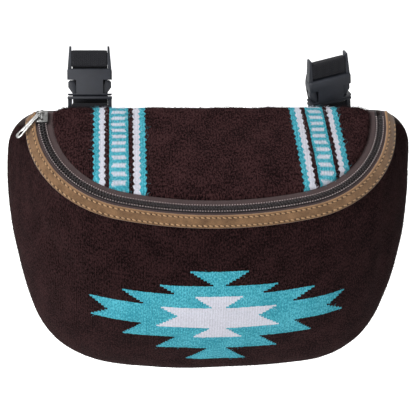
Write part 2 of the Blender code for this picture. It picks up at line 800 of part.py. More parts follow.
def web_routes():
    """The routes of both webs as (y, z) about the tongue bar, in the order that they are sewn."""
    layer = WEB_THICKNESS + GAP
    first = -STRAP_OFFSET + GAP + 0.5 * WEB_THICKNESS
    second = first + layer
    third = second + layer
    wrap = TONGUE_BAR_RADIUS + layer - 0.5 * WEB_THICKNESS
    low = -WEB_TAIL
    tongue = [
        (first, low),
        (first, -0.014),
        (0.6 * first, -0.0058),
        (-wrap, -0.0004),
        (-0.72 * wrap, 0.72 * wrap),
        (0.0, wrap),
        (0.72 * wrap, 0.72 * wrap),
        (wrap, -0.0004),
        (0.5 * wrap, -0.0038),
        (0.55 * second, -0.0090),
        (second, -0.0150),
        (second, low),
    ]
    bar_low = SOCKET_MOUTH + SOCKET_HEIGHT + WEB_SLOT
    bar_high = bar_low + TOP_BAR_HEIGHT
    depth = TOP_BAR_DEPTH / 2
    clear = 1.6 * GAP + WEB_THICKNESS / 2
    corner = clear * math.cos(math.radians(45))
    behind = SOCKET_DEPTH / 2 + 0.0095
    loop = [
        (depth + clear, bar_low - clear),
        (-depth, bar_low - clear),
        (-depth - corner, bar_low - corner),
        (-depth - clear, bar_low),
        (-depth - clear, bar_high),
        (-depth - corner, bar_high + corner),
        (-depth, bar_high + clear),
        (depth, bar_high + clear),
        (depth + corner, bar_high + corner),
        (depth + clear * 1.1, bar_high),
        (depth + 3 * clear, bar_high - 0.006),
        (behind - 0.004, SOCKET_MOUTH + SOCKET_HEIGHT - 0.001),
        (behind, SOCKET_MOUTH + 0.008),
        (behind - 0.001, 0.004),
        (0.0070, -0.006),
        (-0.0010, -0.0125),
        (third, -0.0195),
        (third, -0.0240),
        (third, low),
    ]
    return tongue, loop


def make_straps(parts, cutters):
    tongue_route, loop_route = web_routes()
    for side, (x, bar_height, lean, turn, pitch) in BUCKLES.items():
        frame = add_empty(
            f"{side}_buckle", hang(Vector((x, STRAP_OFFSET, bar_height)), lean, turn, pitch), parts
        )
        make_socket(side, frame, parts, cutters)
        make_tongue(side, frame, parts, cutters)
        make_web(f"{side}_tongue_web", tongue_route, side, -0.003, -0.013, parts)
        make_web(f"{side}_loop_web", loop_route, side, 0.022, -0.012, parts)


def main():
    clear_scene()
    parts = new_collection("pommel_pouch")
    cutters = new_collection("cutters")
    cutters.hide_render = True
    plane = add_empty("zip_plane", ZIP_PLANE, parts)
    make_back_panel(parts)
    make_front_panel(parts, cutters)
    make_top_panel(parts)
    make_tape("upper_zip_tape", -TAPE_INNER - UPPER_TAPE_WIDTH, -TAPE_INNER, parts, plane)
    make_tape("lower_zip_tape", TAPE_INNER, TAPE_INNER + LOWER_TAPE_WIDTH, parts, plane)
    make_coil("upper_zip_coil", -1, 0.0, parts, plane)
    make_coil("lower_zip_coil", 1, TOOTH_PITCH / 2, parts, plane)
    make_trim(parts)
    bar, travel = make_slider(parts, cutters)
    make_pull(bar, travel, parts)
    make_straps(parts, cutters)


main()
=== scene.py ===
"""Pommel pouch, dressed: woven wool, suede trim, coil zip, webbing and moulded buckles over its solids."""

import math
from functools import partialmethod

import bmesh
import bpy
import numpy as np
from bpy.props import FloatProperty, FloatVectorProperty, IntProperty, PointerProperty
from mathutils import Matrix, Vector, noise


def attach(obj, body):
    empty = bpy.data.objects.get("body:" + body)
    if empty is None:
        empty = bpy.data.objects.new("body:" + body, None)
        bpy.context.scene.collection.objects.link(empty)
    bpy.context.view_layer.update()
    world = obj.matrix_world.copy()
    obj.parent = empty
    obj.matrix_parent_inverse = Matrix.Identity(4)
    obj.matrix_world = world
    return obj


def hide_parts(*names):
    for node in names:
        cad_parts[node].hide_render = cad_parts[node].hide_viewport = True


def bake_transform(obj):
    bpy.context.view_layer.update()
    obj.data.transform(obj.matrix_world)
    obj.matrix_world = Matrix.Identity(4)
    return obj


bl_info = {
    "name": "Pommel pouch",
    "version": (1, 0, 0),
    "blender": (4, 5, 0),
    "location": "View3D > Sidebar > Pouch",
    "description": "Makes the cloths, leather, zip and straps of a buckled saddle pouch",
    "category": "Object",
}

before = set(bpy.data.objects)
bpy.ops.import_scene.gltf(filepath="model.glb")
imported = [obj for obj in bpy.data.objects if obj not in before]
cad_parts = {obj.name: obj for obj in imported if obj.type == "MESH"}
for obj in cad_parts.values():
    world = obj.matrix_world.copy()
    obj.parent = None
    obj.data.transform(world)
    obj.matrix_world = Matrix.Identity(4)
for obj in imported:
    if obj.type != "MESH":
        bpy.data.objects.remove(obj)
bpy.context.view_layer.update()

# The picture's width in pixels, and what the camera and the lamps are aimed at
PICTURE = 416
CAMERA_AIM = (-0.0046, -0.03, -0.0664)
LAMP_AIM = (0.0, -0.03, -0.08)

# Sizes that the solids have too, in metres and degrees
GAP = 0.0003
BACK_THICKNESS = 0.0028
TOP_EDGE_HALF = 0.1214
SHOULDER_RADIUS = 0.0286
SHOULDER_TURN = 85.4
SIDE_RADIUS = 0.2886
SIDE_TURN = 24.5
CORNER_RADIUS = 0.072
CORNER_TURN = 63.6
ZIP_SLOPE = 37.0
ZIP_HALF_WIDTH = 0.1243
ZIP_STRAIGHT = 0.0056
ZIP_CORNER_RADIUS = 0.0755
ZIP_CORNER_TURN = 76.8
TAPE_THICKNESS = 0.0008
TAPE_INNER = 0.0013
UPPER_TAPE_WIDTH = 0.0074
LOWER_TAPE_WIDTH = 0.0039
COIL_HALF_WIDTH = 0.0029
COIL_HEIGHT = 0.0019
TOOTH_REACH = 0.0009
TRIM_WIDTH = 0.0095
TRIM_THICKNESS = 0.0016
TRIM_TILT_FRONT = 28.6
TRIM_TILT_END = 40.0
WOOL_THICKNESS = 0.0034
PANEL_TUCK = 0.0030
TOP_BULGE = 0.0045
TOP_SIDE_GAP = 0.0036
TOP_BACK_EDGE = -0.0014
TOP_RISE = 0.0030
FRONT_FULLNESS = 0.22
SEAM_FULLNESS = 0.545
SEAM_FLARE = 0.106
SEAM_START = 47.9
COIL_START = 0.0049
STRAP_HALF_SPACING = 0.090
STRAP_OFFSET = 0.0095
WEB_THICKNESS = 0.0015
WEB_TAIL = 0.048
SOCKET_DEPTH = 0.010
SOCKET_MOUTH = 0.009
SOCKET_HEIGHT = 0.020
WEB_SLOT = 0.0030
TOP_BAR_HEIGHT = 0.0086
TOP_BAR_DEPTH = 0.0025
TONGUE_BAR_RADIUS = 0.00175

# The webbing's drawn width, with its soft edges
WEB_WIDTH = 0.0262

# The slider's middle along the zip, its divider post from there, and how far the post reaches
SLIDER_PLACE = 0.0065
SLIDER_POST_PLACE = -0.0036
POST_REACH = 0.0011

# The socket's posts: where they start, their inner and outer face, and how much thinner their tips are
SOCKET_TOP = SOCKET_MOUTH + SOCKET_HEIGHT
EAR_INNER = 0.0134
EAR_OUTER = 0.0165
EAR_TAPER = 0.0016

# Left and right buckle as they hang: strap's place, bar height, lean, turn and pitch
BUCKLES = {
    "left": (-STRAP_HALF_SPACING, -0.0007, 0.0, 0.0, 15.0),
    "right": (STRAP_HALF_SPACING, -0.0020, -11.0, 12.0, -14.0),
}

# Each tier of the woven diamond: where it starts and ends down the panel, and its half width at both, in mm
BLUE_TIERS = (
    (28.2, 39.6, 22.6, 3.7),
    (39.6, 47.5, 44.0, 29.2),
    (47.5, 56.0, 69.3, 53.8),
    (56.0, 66.0, 96.4, 80.0),
    (66.0, 74.0, 80.0, 95.5),
    (74.0, 85.7, 55.5, 69.2),
    (85.7, 98.4, 30.0, 44.9),
    (98.4, 114.7, 6.2, 23.3),
)
WHITE_TIERS = (
    (48.2, 58.0, 17.9, 4.4),
    (58.0, 66.0, 42.8, 29.0),
    (66.0, 75.7, 29.0, 44.5),
    (75.7, 86.3, 4.4, 18.7),
)


# How the flap rolls up at its back seam, how far it wraps over the back, and how its edges are rounded
FLAP_ROLL = 0.0012
FLAP_WRAP = 0.0036
FLAP_OVER_TAPE = 0.0012
FLAP_ROUNDING = 0.0036

# How far the front and back cloth are shifted left, reached this far below their top
CLOTH_SHIFT = 0.0010
SHIFT_DEPTH = 0.05

# The front cloth: rows of points under the trim, frames that it settles for, and its soft folds, each with
# two (x, z) ends, a depth and a width
TUCK_ROWS = 4
SETTLE_FRAMES = 16
FOLDS = (
    ((-0.140, -0.055), (-0.100, -0.100), 0.0014, 0.006),
    ((0.130, -0.050), (0.118, -0.150), 0.0013, 0.006),
    ((-0.060, -0.078), (-0.020, -0.092), 0.0006, 0.010),
    ((0.030, -0.082), (0.070, -0.074), 0.0006, 0.010),
)

# The steps that the weft gives the diamond's edges, the specks of the nap and its sheen
WEFT_STEP = 0.0014
NAP_SPECKS = (0.100, 0.060, 0.058)
NAP_TINT = (0.9, 0.55, 0.55, 1.0)

# A striped band, in from its outer edge: blue, white, ground, ladder, ground, white, blue
OUTER_BLUE = 0.0041
OUTER_WHITE = 0.0079
LADDER = (0.0112, 0.0249)
RUNGS = (0.0131, 0.0229)
INNER_WHITE = 0.0283
INNER_BLUE = 0.0329
BAND_END = 0.0371
RIGHT_SCALE = 0.95

# The scallops of the stripes' edges: one every so far, and how far they swing
SCALLOP = 0.0047
SCALLOP_SWING = 0.00055

# The ladder's rungs: how many a metre at the back, how that falls towards the zip, and where they start
LADDER_START = 195.7
LADDER_STRETCH = 458.0
LADDER_PHASE = 1.4

# The trim's stitches: both rows' distance from its upper edge, their first place and their slant
STITCH_ROWS = (0.0023, 0.0081)
FIRST_STITCH = 0.003
STITCH_SLANT = 0.28

# The coil's thread: its distance from the coil's middle, then a stitch's pitch, length and radius
COIL_SEAM = 0.0025
COIL_STITCH = (0.0019, 0.0008, 0.00042)


def colour(name, description, default):
    return FloatVectorProperty(
        name=name, description=description, default=default, subtype="COLOR", size=3, min=0.0, max=1.0
    )


def length(name, description, default):
    units = {"subtype": "DISTANCE", "unit": "LENGTH", "precision": 5}
    return FloatProperty(name=name, description=description, default=default, min=0.0, **units)


def number(name, description, default):
    return FloatProperty(name=name, description=description, default=default)


class WoolSettings(bpy.types.PropertyGroup):
    """The woven panels"""

    brown: colour("Brown", "Ground colour of the wool", (0.0040, 0.0014, 0.0018))
    brown_light: colour("Light brown", "Lighter hairs in the ground", (0.0640, 0.0270, 0.0280))
    blue: colour("Blue", "Blue yarn of the pattern", (0.030, 0.290, 0.375))
    blue_light: colour("Light blue", "Lighter hairs in the blue yarn", (0.118, 0.535, 0.650))
    white: colour("White", "White yarn of the pattern", (0.735, 0.740, 0.830))
    rib: length("Rib pitch", "Distance between the warp ribs", 0.0019)
    pick: length("Pick pitch", "Distance between the rows of weft", 0.0011)
    relief: length("Relief", "Height of the yarns", 0.0010)
    centre: length("Diamond centre", "How far right of the middle the diamond lies", 0.0022)
    left_band: length("Left band", "Outer edge of the left band, left of the middle", 0.0868)
    right_band: length("Right band", "Inner edge of the right band, right of the middle", 0.0566)
    right_slant: number("Right slant", "How far the right band leans outwards for its length", 0.083)
    hairs: IntProperty(name="Hairs", description="Loose hairs on each panel", default=6500, min=1)
    hair_length: length("Hair length", "Length of the loose hairs", 0.0030)
    hair_radius: length("Hair radius", "Thickness of a loose hair at its root", 0.00007)
    settle: length("Settling", "The furthest that a point of the cloth may move as it settles", 0.0022)


class ZipSettings(bpy.types.PropertyGroup):
    """The zip and its leather trim"""

    tape: colour("Tape", "Zip tape", (0.050, 0.031, 0.031))
    coil: colour("Coil", "Coil of the zip", (0.016, 0.011, 0.012))
    ridge: colour("Coil thread", "Thread over the coil", (0.360, 0.290, 0.285))
    suede: colour("Suede", "Leather trim", (0.185, 0.103, 0.050))
    suede_dark: colour("Dark suede", "Darker patches of the leather", (0.070, 0.036, 0.016))
    thread: colour("Thread", "Stitches on the leather", (0.330, 0.195, 0.093))
    metal: colour("Metal", "Slider and pull", (0.370, 0.370, 0.360))
    coil_pitch: length("Coil pitch", "Distance between turns of the coil", 0.0024)
    coil_wire: length("Coil wire", "Radius of the coil's wire", 0.00030)
    stitch_pitch: length("Stitch pitch", "Distance between stitches on the leather", 0.0037)
    stitch_length: length("Stitch length", "Length of one stitch on the leather", 0.0028)
    stitch_radius: length("Stitch radius", "Thickness of the leather's thread", 0.00046)


class StrapSettings(bpy.types.PropertyGroup):
    """The webbing, the buckles and the back"""

    webbing: colour("Webbing", "Strap webbing", (0.0060, 0.0060, 0.0078))
    plastic: colour("Plastic", "Buckle plastic", (0.0125, 0.0140, 0.0190))
    back: colour("Back cloth", "Cloth of the back panel", (0.022, 0.015, 0.014))
    thread: colour("Strap thread", "Thread that sews the straps on", (0.055, 0.050, 0.052))
    web_row: length("Web row", "Distance between the webbing's weft rows", 0.0015)
    rounding: length("Rounding", "Radius of the buckles' moulded edges", 0.00022)


class StageSettings(bpy.types.PropertyGroup):
    """Camera, light and floor"""

    distance: length("Camera distance", "From the camera to the pouch", 0.9)
    focal: number("Lens", "Focal length of the camera, in millimetres", 105.66)
    elevation: number("Elevation", "Camera angle above level, in degrees", 20.0)
    azimuth: number("Azimuth", "Camera angle round the pouch, in degrees", -4.2)
    roll: number("Roll", "Camera roll, in degrees", 0.96)
    shift: number("Shift", "Sideways shift, in pixels of the picture", 1.3)
    floor: number("Floor height", "Height of the floor, in metres", -0.44)
    room_light: number("Room light", "Strength of the light all round", 0.30)


class Chain:
    """A flat path of straight lines and arcs that turn left. Each piece is a length and a turn in radians."""

    def __init__(self, start, heading, pieces):
        self.start = Vector(start)
        self.heading = heading
        self.pieces = pieces
        self.length = sum(piece for piece, _ in pieces)

    def at(self, distance):
        """The point and the heading at a distance along the path."""
        point = self.start.copy()
        heading = self.heading
        left = distance
        for piece, turn in self.pieces:
            step = min(left, piece)
            if turn == 0:
                point = point + step * Vector((math.cos(heading), math.sin(heading)))
            else:
                radius = piece / turn
                centre = point + radius * Vector((-math.sin(heading), math.cos(heading)))
                heading += step / radius
                point = centre + radius * Vector((math.sin(heading), -math.cos(heading)))
            left -= step
            if left <= 0:
                break
        return point, heading


def arc(radius, degrees):
    turn = math.radians(degrees)
    return radius * turn, turn


def zip_path():
    corner = math.radians(ZIP_CORNER_TURN)
    at_front = ZIP_HALF_WIDTH - ZIP_CORNER_RADIUS * (1 - math.cos(corner))
    end = (ZIP_STRAIGHT, 0.0)
    bend = arc(ZIP_CORNER_RADIUS, ZIP_CORNER_TURN)
    front = arc(at_front / math.cos(corner), 180 - 2 * ZIP_CORNER_TURN)
    return Chain((-ZIP_HALF_WIDTH, 0.0), math.radians(-90), [end, bend, front, bend, end])


def seam_path():
    half = [arc(SHOULDER_RADIUS, SHOULDER_TURN), arc(SIDE_RADIUS, SIDE_TURN), arc(CORNER_RADIUS, CORNER_TURN)]
    start = (-TOP_EDGE_HALF, 0.0)
    to_corner = Chain(start, math.radians(180), half)
    at_corner, _ = to_corner.at(to_corner.length)
    bottom_half = 180 - SHOULDER_TURN - SIDE_TURN - CORNER_TURN
    bottom = arc(-at_corner.x / math.sin(math.radians(bottom_half)), 2 * bottom_half)
    return Chain(start, math.radians(180), half + [bottom] + half[::-1])


ZIP = zip_path()
SEAM = seam_path()
ZIP_PLANE = Matrix.Translation((0.0, -BACK_THICKNESS - 2 * GAP, 0.0)) @ Matrix.Rotation(
    math.radians(ZIP_SLOPE), 4, "X"
)
ZIP_UP = ZIP_PLANE.to_3x3() @ Vector((0, 0, 1))
PANEL_EDGE = TAPE_INNER + LOWER_TAPE_WIDTH + GAP


def on_zip(distance, outwards, up):
    """A point beside the coil's middle line, in world coordinates."""
    point, heading = ZIP.at(distance)
    place = Vector((point.x + outwards * math.sin(heading), point.y - outwards * math.cos(heading), up))
    return ZIP_PLANE @ place


def trim_frame(distance):
    """The trim's inner upper edge, its direction and its outward normal."""
    _, heading = ZIP.at(distance)
    outwards = ZIP_PLANE.to_3x3() @ Vector((math.sin(heading), -math.cos(heading), 0.0))
    at_end = abs(math.sin(heading))
    tilt = math.radians(TRIM_TILT_FRONT + (TRIM_TILT_END - TRIM_TILT_FRONT) * at_end**2)
    direction = (math.cos(tilt) * outwards + math.sin(tilt) * Vector((0, 0, -1))).normalized()
    along = ZIP_PLANE.to_3x3() @ Vector((math.cos(heading), math.sin(heading), 0.0))
    normal = direction.cross(along).normalized()
    if normal.z < 0:
        normal.negate()
    return on_zip(distance, PANEL_EDGE, TRIM_THICKNESS + GAP), direction, normal


def bezier(p0, p1, p2, p3, count):
    points = []
    for i in range(count + 1):
        t = i / count
        s = 1 - t
        points.append(s**3 * p0 + 3 * s * s * t * p1 + 3 * s * t * t * p2 + t**3 * p3)
    return points


def front_section(fraction, rows):
    """One line down the front panel's outer face, from under the trim to the seam with the back panel."""
    distance = WOOL_THICKNESS + fraction * (ZIP.length - 2 * WOOL_THICKNESS)
    edge, direction, normal = trim_frame(distance)
    start = edge - (TRIM_THICKNESS + GAP) * normal + PANEL_TUCK * direction
    bend = start + (TRIM_WIDTH - PANEL_TUCK) * direction
    first = SHOULDER_RADIUS * math.radians(SEAM_START)
    seam, heading = SEAM.at(first + fraction * (SEAM.length - 2 * first))
    outwards = Vector((math.sin(heading), 0.0, -math.cos(heading)))
    end = Vector((seam.x, -BACK_THICKNESS, seam.y))
    reach = (end - bend).length
    leaving = (Vector((0, -1, 0)) + SEAM_FLARE * abs(outwards.x) * outwards).normalized()
    curve = bezier(
        bend, bend + FRONT_FULLNESS * reach * direction, end + SEAM_FULLNESS * reach * leaving, end, rows
    )
    tuck = [start.lerp(bend, i / TUCK_ROWS) for i in range(TUCK_ROWS)]
    return tuck + curve


def hang(pivot, lean, turn, pitch, share=1.0):
    """The buckle's frame about its tongue bar, with the given share of its lean, turn and pitch."""
    rotation = (
        Matrix.Rotation(math.radians(turn * share), 4, "Z")
        @ Matrix.Rotation(math.radians(lean * share), 4, "Y")
        @ Matrix.Rotation(math.radians(-pitch * share), 4, "X")
    )
    return Matrix.Translation(pivot) @ rotation


def smooth_path(points, step):
    """Points about a step apart on a rounded line through the given ones."""
    padded = [2 * points[0] - points[1]] + points + [2 * points[-1] - points[-2]]
    out = []
    for a, b, c, d in zip(padded, padded[1:], padded[2:], padded[3:]):
        count = max(1, math.ceil((c - b).length / step))
        for i in range(count):
            t = i / count
            square = (2 * a - 5 * b + 4 * c - d) * t**2
            cube = (3 * b - a - 3 * c + d) * t**3
            out.append(0.5 * (2 * b + (c - a) * t + square + cube))
    out.append(points[-1])
    return out


def web_routes():
    """The routes of both webs as (y, z) about the tongue bar."""
    layer = WEB_THICKNESS + GAP
    first = -STRAP_OFFSET + GAP + 0.5 * WEB_THICKNESS
    second = first + layer
    third = second + layer
    wrap = TONGUE_BAR_RADIUS + layer - 0.5 * WEB_THICKNESS
    low = -WEB_TAIL
    tongue = [
        (first, low),
        (first, -0.014),
        (0.6 * first, -0.0058),
        (-wrap, -0.0004),
        (-0.72 * wrap, 0.72 * wrap),
        (0.0, wrap),
        (0.72 * wrap, 0.72 * wrap),
        (wrap, -0.0004),
        (0.5 * wrap, -0.0038),
        (0.55 * second, -0.0090),
        (second, -0.0150),
        (second, low),
    ]
    bar_low = SOCKET_MOUTH + SOCKET_HEIGHT + WEB_SLOT
    bar_high = bar_low + TOP_BAR_HEIGHT
    depth = TOP_BAR_DEPTH / 2
    clear = 1.6 * GAP + WEB_THICKNESS / 2
    corner = clear * math.cos(math.radians(45))
    behind = SOCKET_DEPTH / 2 + 0.0095
    loop = [
        (depth + clear, bar_low - clear),
        (-depth, bar_low - clear),
        (-depth - corner, bar_low - corner),
        (-depth - clear, bar_low),
        (-depth - clear, bar_high),
        (-depth - corner, bar_high + corner),
        (-depth, bar_high + clear),
        (depth, bar_high + clear),
        (depth + corner, bar_high + corner),
        (depth + clear * 1.1, bar_high),
        (depth + 3 * clear, bar_high - 0.006),
        (behind - 0.004, SOCKET_MOUTH + SOCKET_HEIGHT - 0.001),
        (behind, SOCKET_MOUTH + 0.008),
        (behind - 0.001, 0.004),
        (0.0070, -0.006),
        (-0.0010, -0.0125),
        (third, -0.0195),
        (third, -0.0240),
        (third, low),
    ]
    return tongue, loop


class Field:
    """A value that varies over a surface, with Python's arithmetic on it."""

    def __init__(self, tree, socket):
        self.tree = tree
        self.socket = socket

    def maths(self, operation, other=0.0, clamp=False):
        settings = {"operation": operation, "use_clamp": clamp}
        return self.tree.node("ShaderNodeMath", settings, {0: self, 1: other})["Value"]

    __add__ = __radd__ = partialmethod(maths, "ADD")
    __sub__ = partialmethod(maths, "SUBTRACT")
    __mul__ = partialmethod(maths, "MULTIPLY")
    __truediv__ = partialmethod(maths, "DIVIDE")
    __gt__ = partialmethod(maths, "GREATER_THAN")
    __lt__ = partialmethod(maths, "LESS_THAN")
    __abs__ = partialmethod(maths, "ABSOLUTE")
    __floor__ = partialmethod(maths, "FLOOR")
    or_more = partialmethod(maths, "MAXIMUM")
    sine = partialmethod(maths, "SINE")
    clamped = partialmethod(maths, "ADD", 0.0, True)

    def __rsub__(self, other):
        return self * -1.0 + other

    def wave(self, pitch):
        """Goes between -1 and 1, once in each pitch."""
        return (self * (2 * math.pi / pitch)).sine()

    def zigzag(self, size):
        """Rises and falls between 0 and the size, over twice that distance."""
        return self.maths("PINGPONG", size)

    def between(self, low, high):
        return (self > low) * (self < high)


class Tree:
    """A tree of nodes, whose values and links are given by name."""

    def __init__(self, tree):
        self.tree = tree

    def node(self, kind, settings=None, inputs=None):
        """Adds a node, sets it up and feeds its sockets values or links. Returns its outputs by name."""
        made = self.tree.nodes.new(kind)
        for setting, value in (settings or {}).items():
            setattr(made, setting, value)
        for key, value in (inputs or {}).items():
            named = (socket for socket in made.inputs if key in (socket.identifier, socket.name))
            self.feed(made.inputs[key] if isinstance(key, int) else next(named), value)
        return {output.identifier: Field(self, output) for output in made.outputs}

    def feed(self, socket, value):
        if isinstance(value, Field):
            self.tree.links.new(value.socket, socket)
        elif socket.type == "RGBA" and len(value) == 3:
            socket.default_value = (*value, 1.0)
        else:
            socket.default_value = value


class Finish(Tree):
    """A material made of nodes. The settings of its shader that don't vary are given by name."""

    def __init__(self, name, **settings):
        self.material = bpy.data.materials.new(name)
        self.material.use_nodes = True
        super().__init__(self.material.node_tree)
        self.shader = self.tree.nodes["Principled BSDF"]
        for setting, value in settings.items():
            self.shader.inputs[setting.replace("_", " ")].default_value = value

    def read(self, name):
        """A measure that the mesh carries, in metres."""
        return self.node("ShaderNodeAttribute", {"attribute_name": name})["Fac"]

    def place(self, x, y):
        return self.node("ShaderNodeCombineXYZ", None, {"X": x, "Y": y})["Vector"]

    def surface(self, first, second):
        """Two measures that the mesh carries, and the place that they give."""
        x, y = self.read(first), self.read(second)
        return x, y, self.place(x, y)

    def own_place(self):
        return self.node("ShaderNodeTexCoord")["Object"]

    def grain(self, vector, scale, detail=2.0, roughness=0.5):
        inputs = {"Vector": vector, "Scale": scale, "Detail": detail, "Roughness": roughness}
        return self.node("ShaderNodeTexNoise", None, inputs)["Fac"]

    def rise(self, value, low, high):
        """0 up to the low value, 1 from the high one on."""
        inputs = {"Value": value, "From Min": low, "From Max": high}
        return self.node("ShaderNodeMapRange", None, inputs)["Result"]

    def mix(self, share, first, second):
        settings = {"data_type": "RGBA", "clamp_factor": True}
        inputs = {"Factor_Float": share, "A_Color": first, "B_Color": second}
        return self.node("ShaderNodeMix", settings, inputs)["Result_Color"]

    def shades(self, value, tone, dark, light, low=0.35, high=0.7):
        """The tone from a dark to a light shade of it, as the value rises."""
        return self.mix(self.rise(value, low, high), shade(tone, dark), shade(tone, light))

    def scaled(self, tone, factor):
        """A tone made darker or lighter by a factor that varies."""
        inputs = {"Vector": tone, "Scale": factor}
        return self.node("ShaderNodeVectorMath", {"operation": "SCALE"}, inputs)["Vector"]

    def bump(self, height, distance, strength=1.0):
        inputs = {"Height": height, "Distance": distance, "Strength": strength}
        self.feed(self.shader.inputs["Normal"], self.node("ShaderNodeBump", None, inputs)["Normal"])

    def paint(self, tone):
        self.feed(self.shader.inputs["Base Color"], tone)

    def rough(self, value):
        self.feed(self.shader.inputs["Roughness"], value)


def shade(tone, factor):
    return tuple(min(1.0, channel * factor) for channel in tone)


def wool_finish(name, pattern, level):
    """Weft-faced wool: rounded ribs, beaded picks and hairs, dyed by a pattern that gives blue and white,
    with shade painted into the grooves between the ribs and between the picks.
    The level makes its ground lighter or darker: the flap's higher level paints light onto its ground,
    standing in for the nap catching the light."""
    yarn = bpy.context.scene.pouch_wool
    sheen = {"Sheen_Weight": 0.035, "Sheen_Roughness": 0.4, "Sheen_Tint": NAP_TINT}
    made = Finish(name, Roughness=1.0, Specular_IOR_Level=0.03, **sheen)
    across, down, cloth = made.surface("across", "down")
    hairs = made.grain(cloth, 1500.0, 3.0, 0.65)
    tufts = made.grain(made.place(across, down * 0.62), 900.0, 3.0, 0.8)
    patches = made.grain(cloth, 60.0, 3.0, 0.6)
    rib = across / yarn.rib + (tufts - 0.5) * 1.6
    pick = down / yarn.pick + math.floor(rib) * 0.5 + (tufts - 0.5) * 0.8
    ribs = abs((rib * math.pi).sine())
    beads = abs((pick * math.pi).sine())
    made.bump(ribs * 0.3 + beads * 0.3 + hairs * 0.4 + tufts * 1.3, yarn.relief)
    wander = (made.grain(cloth, 420.0) - 0.5) * 0.0018
    blue, white = pattern(across + wander, down + wander * 0.6)
    light = made.rise(tufts * 0.8 + patches * 0.2, 0.455, 0.555)
    # The level scales the whole ground; on the flap its higher value is painted light, for the nap catching
    # the light
    ground = made.mix(light, shade(yarn.brown, level), shade(yarn.brown_light, level))
    ground = made.mix(made.rise(hairs, 0.60, 0.70) * 0.45, ground, NAP_SPECKS)
    blue_yarn = made.mix(light, yarn.blue, yarn.blue_light)
    white_yarn = made.mix(light, shade(yarn.white, 0.86), yarn.white)
    tone = made.mix(white, made.mix(blue, ground, blue_yarn), white_yarn)
    # Painted shade: the tone darkens in the grooves between the ribs and between the picks
    made.paint(made.scaled(tone, ribs * 0.12 + beads * 0.12 + 0.78))
    return made.material


def tier_mask(across, down, tiers):
    """1 inside any tier: each goes from one half width to another as it goes down the panel."""
    total = None
    down = math.floor(down / WEFT_STEP) * WEFT_STEP
    for top, bottom, wide_top, wide_bottom in tiers:
        slope = (wide_bottom - wide_top) / (bottom - top)
        half_width = (down - top / 1000) * slope + wide_top / 1000
        inside = down.between(top / 1000, bottom / 1000) * (across < half_width)
        total = inside if total is None else total + inside
    return total


def diamond_pattern(across, down):
    """The stepped diamond of the front panel."""
    from_centre = abs(across - bpy.context.scene.pouch_wool.centre)
    return tier_mask(from_centre, down, BLUE_TIERS), tier_mask(from_centre, down, WHITE_TIERS)


def band_masks(inward, along, scale):
    """Blue and white of one striped band, by the distance in from its outer edge."""
    scallop = along.wave(SCALLOP) * SCALLOP_SWING
    edge = inward / scale + scallop
    back = inward / scale - scallop
    rungs = (along * LADDER_START - along * along * LADDER_STRETCH - LADDER_PHASE).zigzag(0.5)
    strands = (inward.zigzag(0.00095) > 0.00022) * 0.35 + 0.65
    bars = edge.between(*RUNGS) * ((rungs - 0.15) * 4.5).clamped() * strands
    blue = (edge > 0.0) * (back < OUTER_BLUE) + inward.between(LADDER[0] * scale, LADDER[1] * scale)
    blue = blue + (edge > INNER_BLUE) * (back < BAND_END)
    white = (back > OUTER_BLUE) * (edge < OUTER_WHITE) + (back > INNER_WHITE) * (edge < INNER_BLUE) + bars
    return blue, white


def band_pattern(across, down):
    """The striped bands of the flap, with a ladder in the middle of each."""
    yarn = bpy.context.scene.pouch_wool
    left = band_masks(across + yarn.left_band, down, 1.0)
    right_outer = yarn.right_band + BAND_END * RIGHT_SCALE
    right = band_masks(right_outer + down * yarn.right_slant - across, down, RIGHT_SCALE)
    return left[0] + right[0], left[1] + right[1]


def tape_finish():
    """Twill tape, with shade painted onto it under the coil."""
    yarn = bpy.context.scene.pouch_zip
    made = Finish("zip_tape", Sheen_Weight=0.15, Specular_IOR_Level=0.3)
    along, across, cloth = made.surface("along", "across")
    fibre = made.grain(cloth, 2500.0)
    twill = (along + across).wave(0.0011) * 0.3 + (along - across).wave(0.0006) * 0.2
    made.bump(twill + fibre * 0.6, 0.00012)
    soft = made.grain(cloth, 160.0, 3.0)
    tone = made.shades(soft * 0.6 + fibre * 0.4, yarn.tape, 0.78, 1.2, 0.3)
    # Painted shade: the tape turns nearly black where the coil lies over it
    coil_shade = ((COIL_HALF_WIDTH + 0.0003 - abs(across)) * 3000.0).clamped()
    made.paint(made.mix(coil_shade * 0.85, tone, (0.004, 0.003, 0.003)))
    made.rough(soft * 0.15 + 0.78)
    return made.material


def coil_finish():
    """Drawn nylon, scuffed."""
    made = Finish("zip_coil", Specular_IOR_Level=0.5)
    scuffs = made.grain(made.own_place(), 900.0)
    made.paint(made.shades(scuffs, bpy.context.scene.pouch_zip.coil, 0.7, 1.5))
    made.rough(scuffs * 0.2 + 0.32)
    made.bump(scuffs, 0.00003)
    return made.material


def thread_finish(name, tone):
    """Twisted sewing thread."""
    made = Finish(name, Sheen_Weight=0.2, Specular_IOR_Level=0.3)
    place = made.own_place()
    twist = made.grain(place, 2600.0)
    wear = made.grain(place, 240.0)
    made.paint(made.shades(twist * 0.6 + wear * 0.4, tone, 0.62, 1.25, high=0.65))
    made.rough(twist * 0.2 + 0.65)
    made.bump(twist, 0.00012)
    return made.material


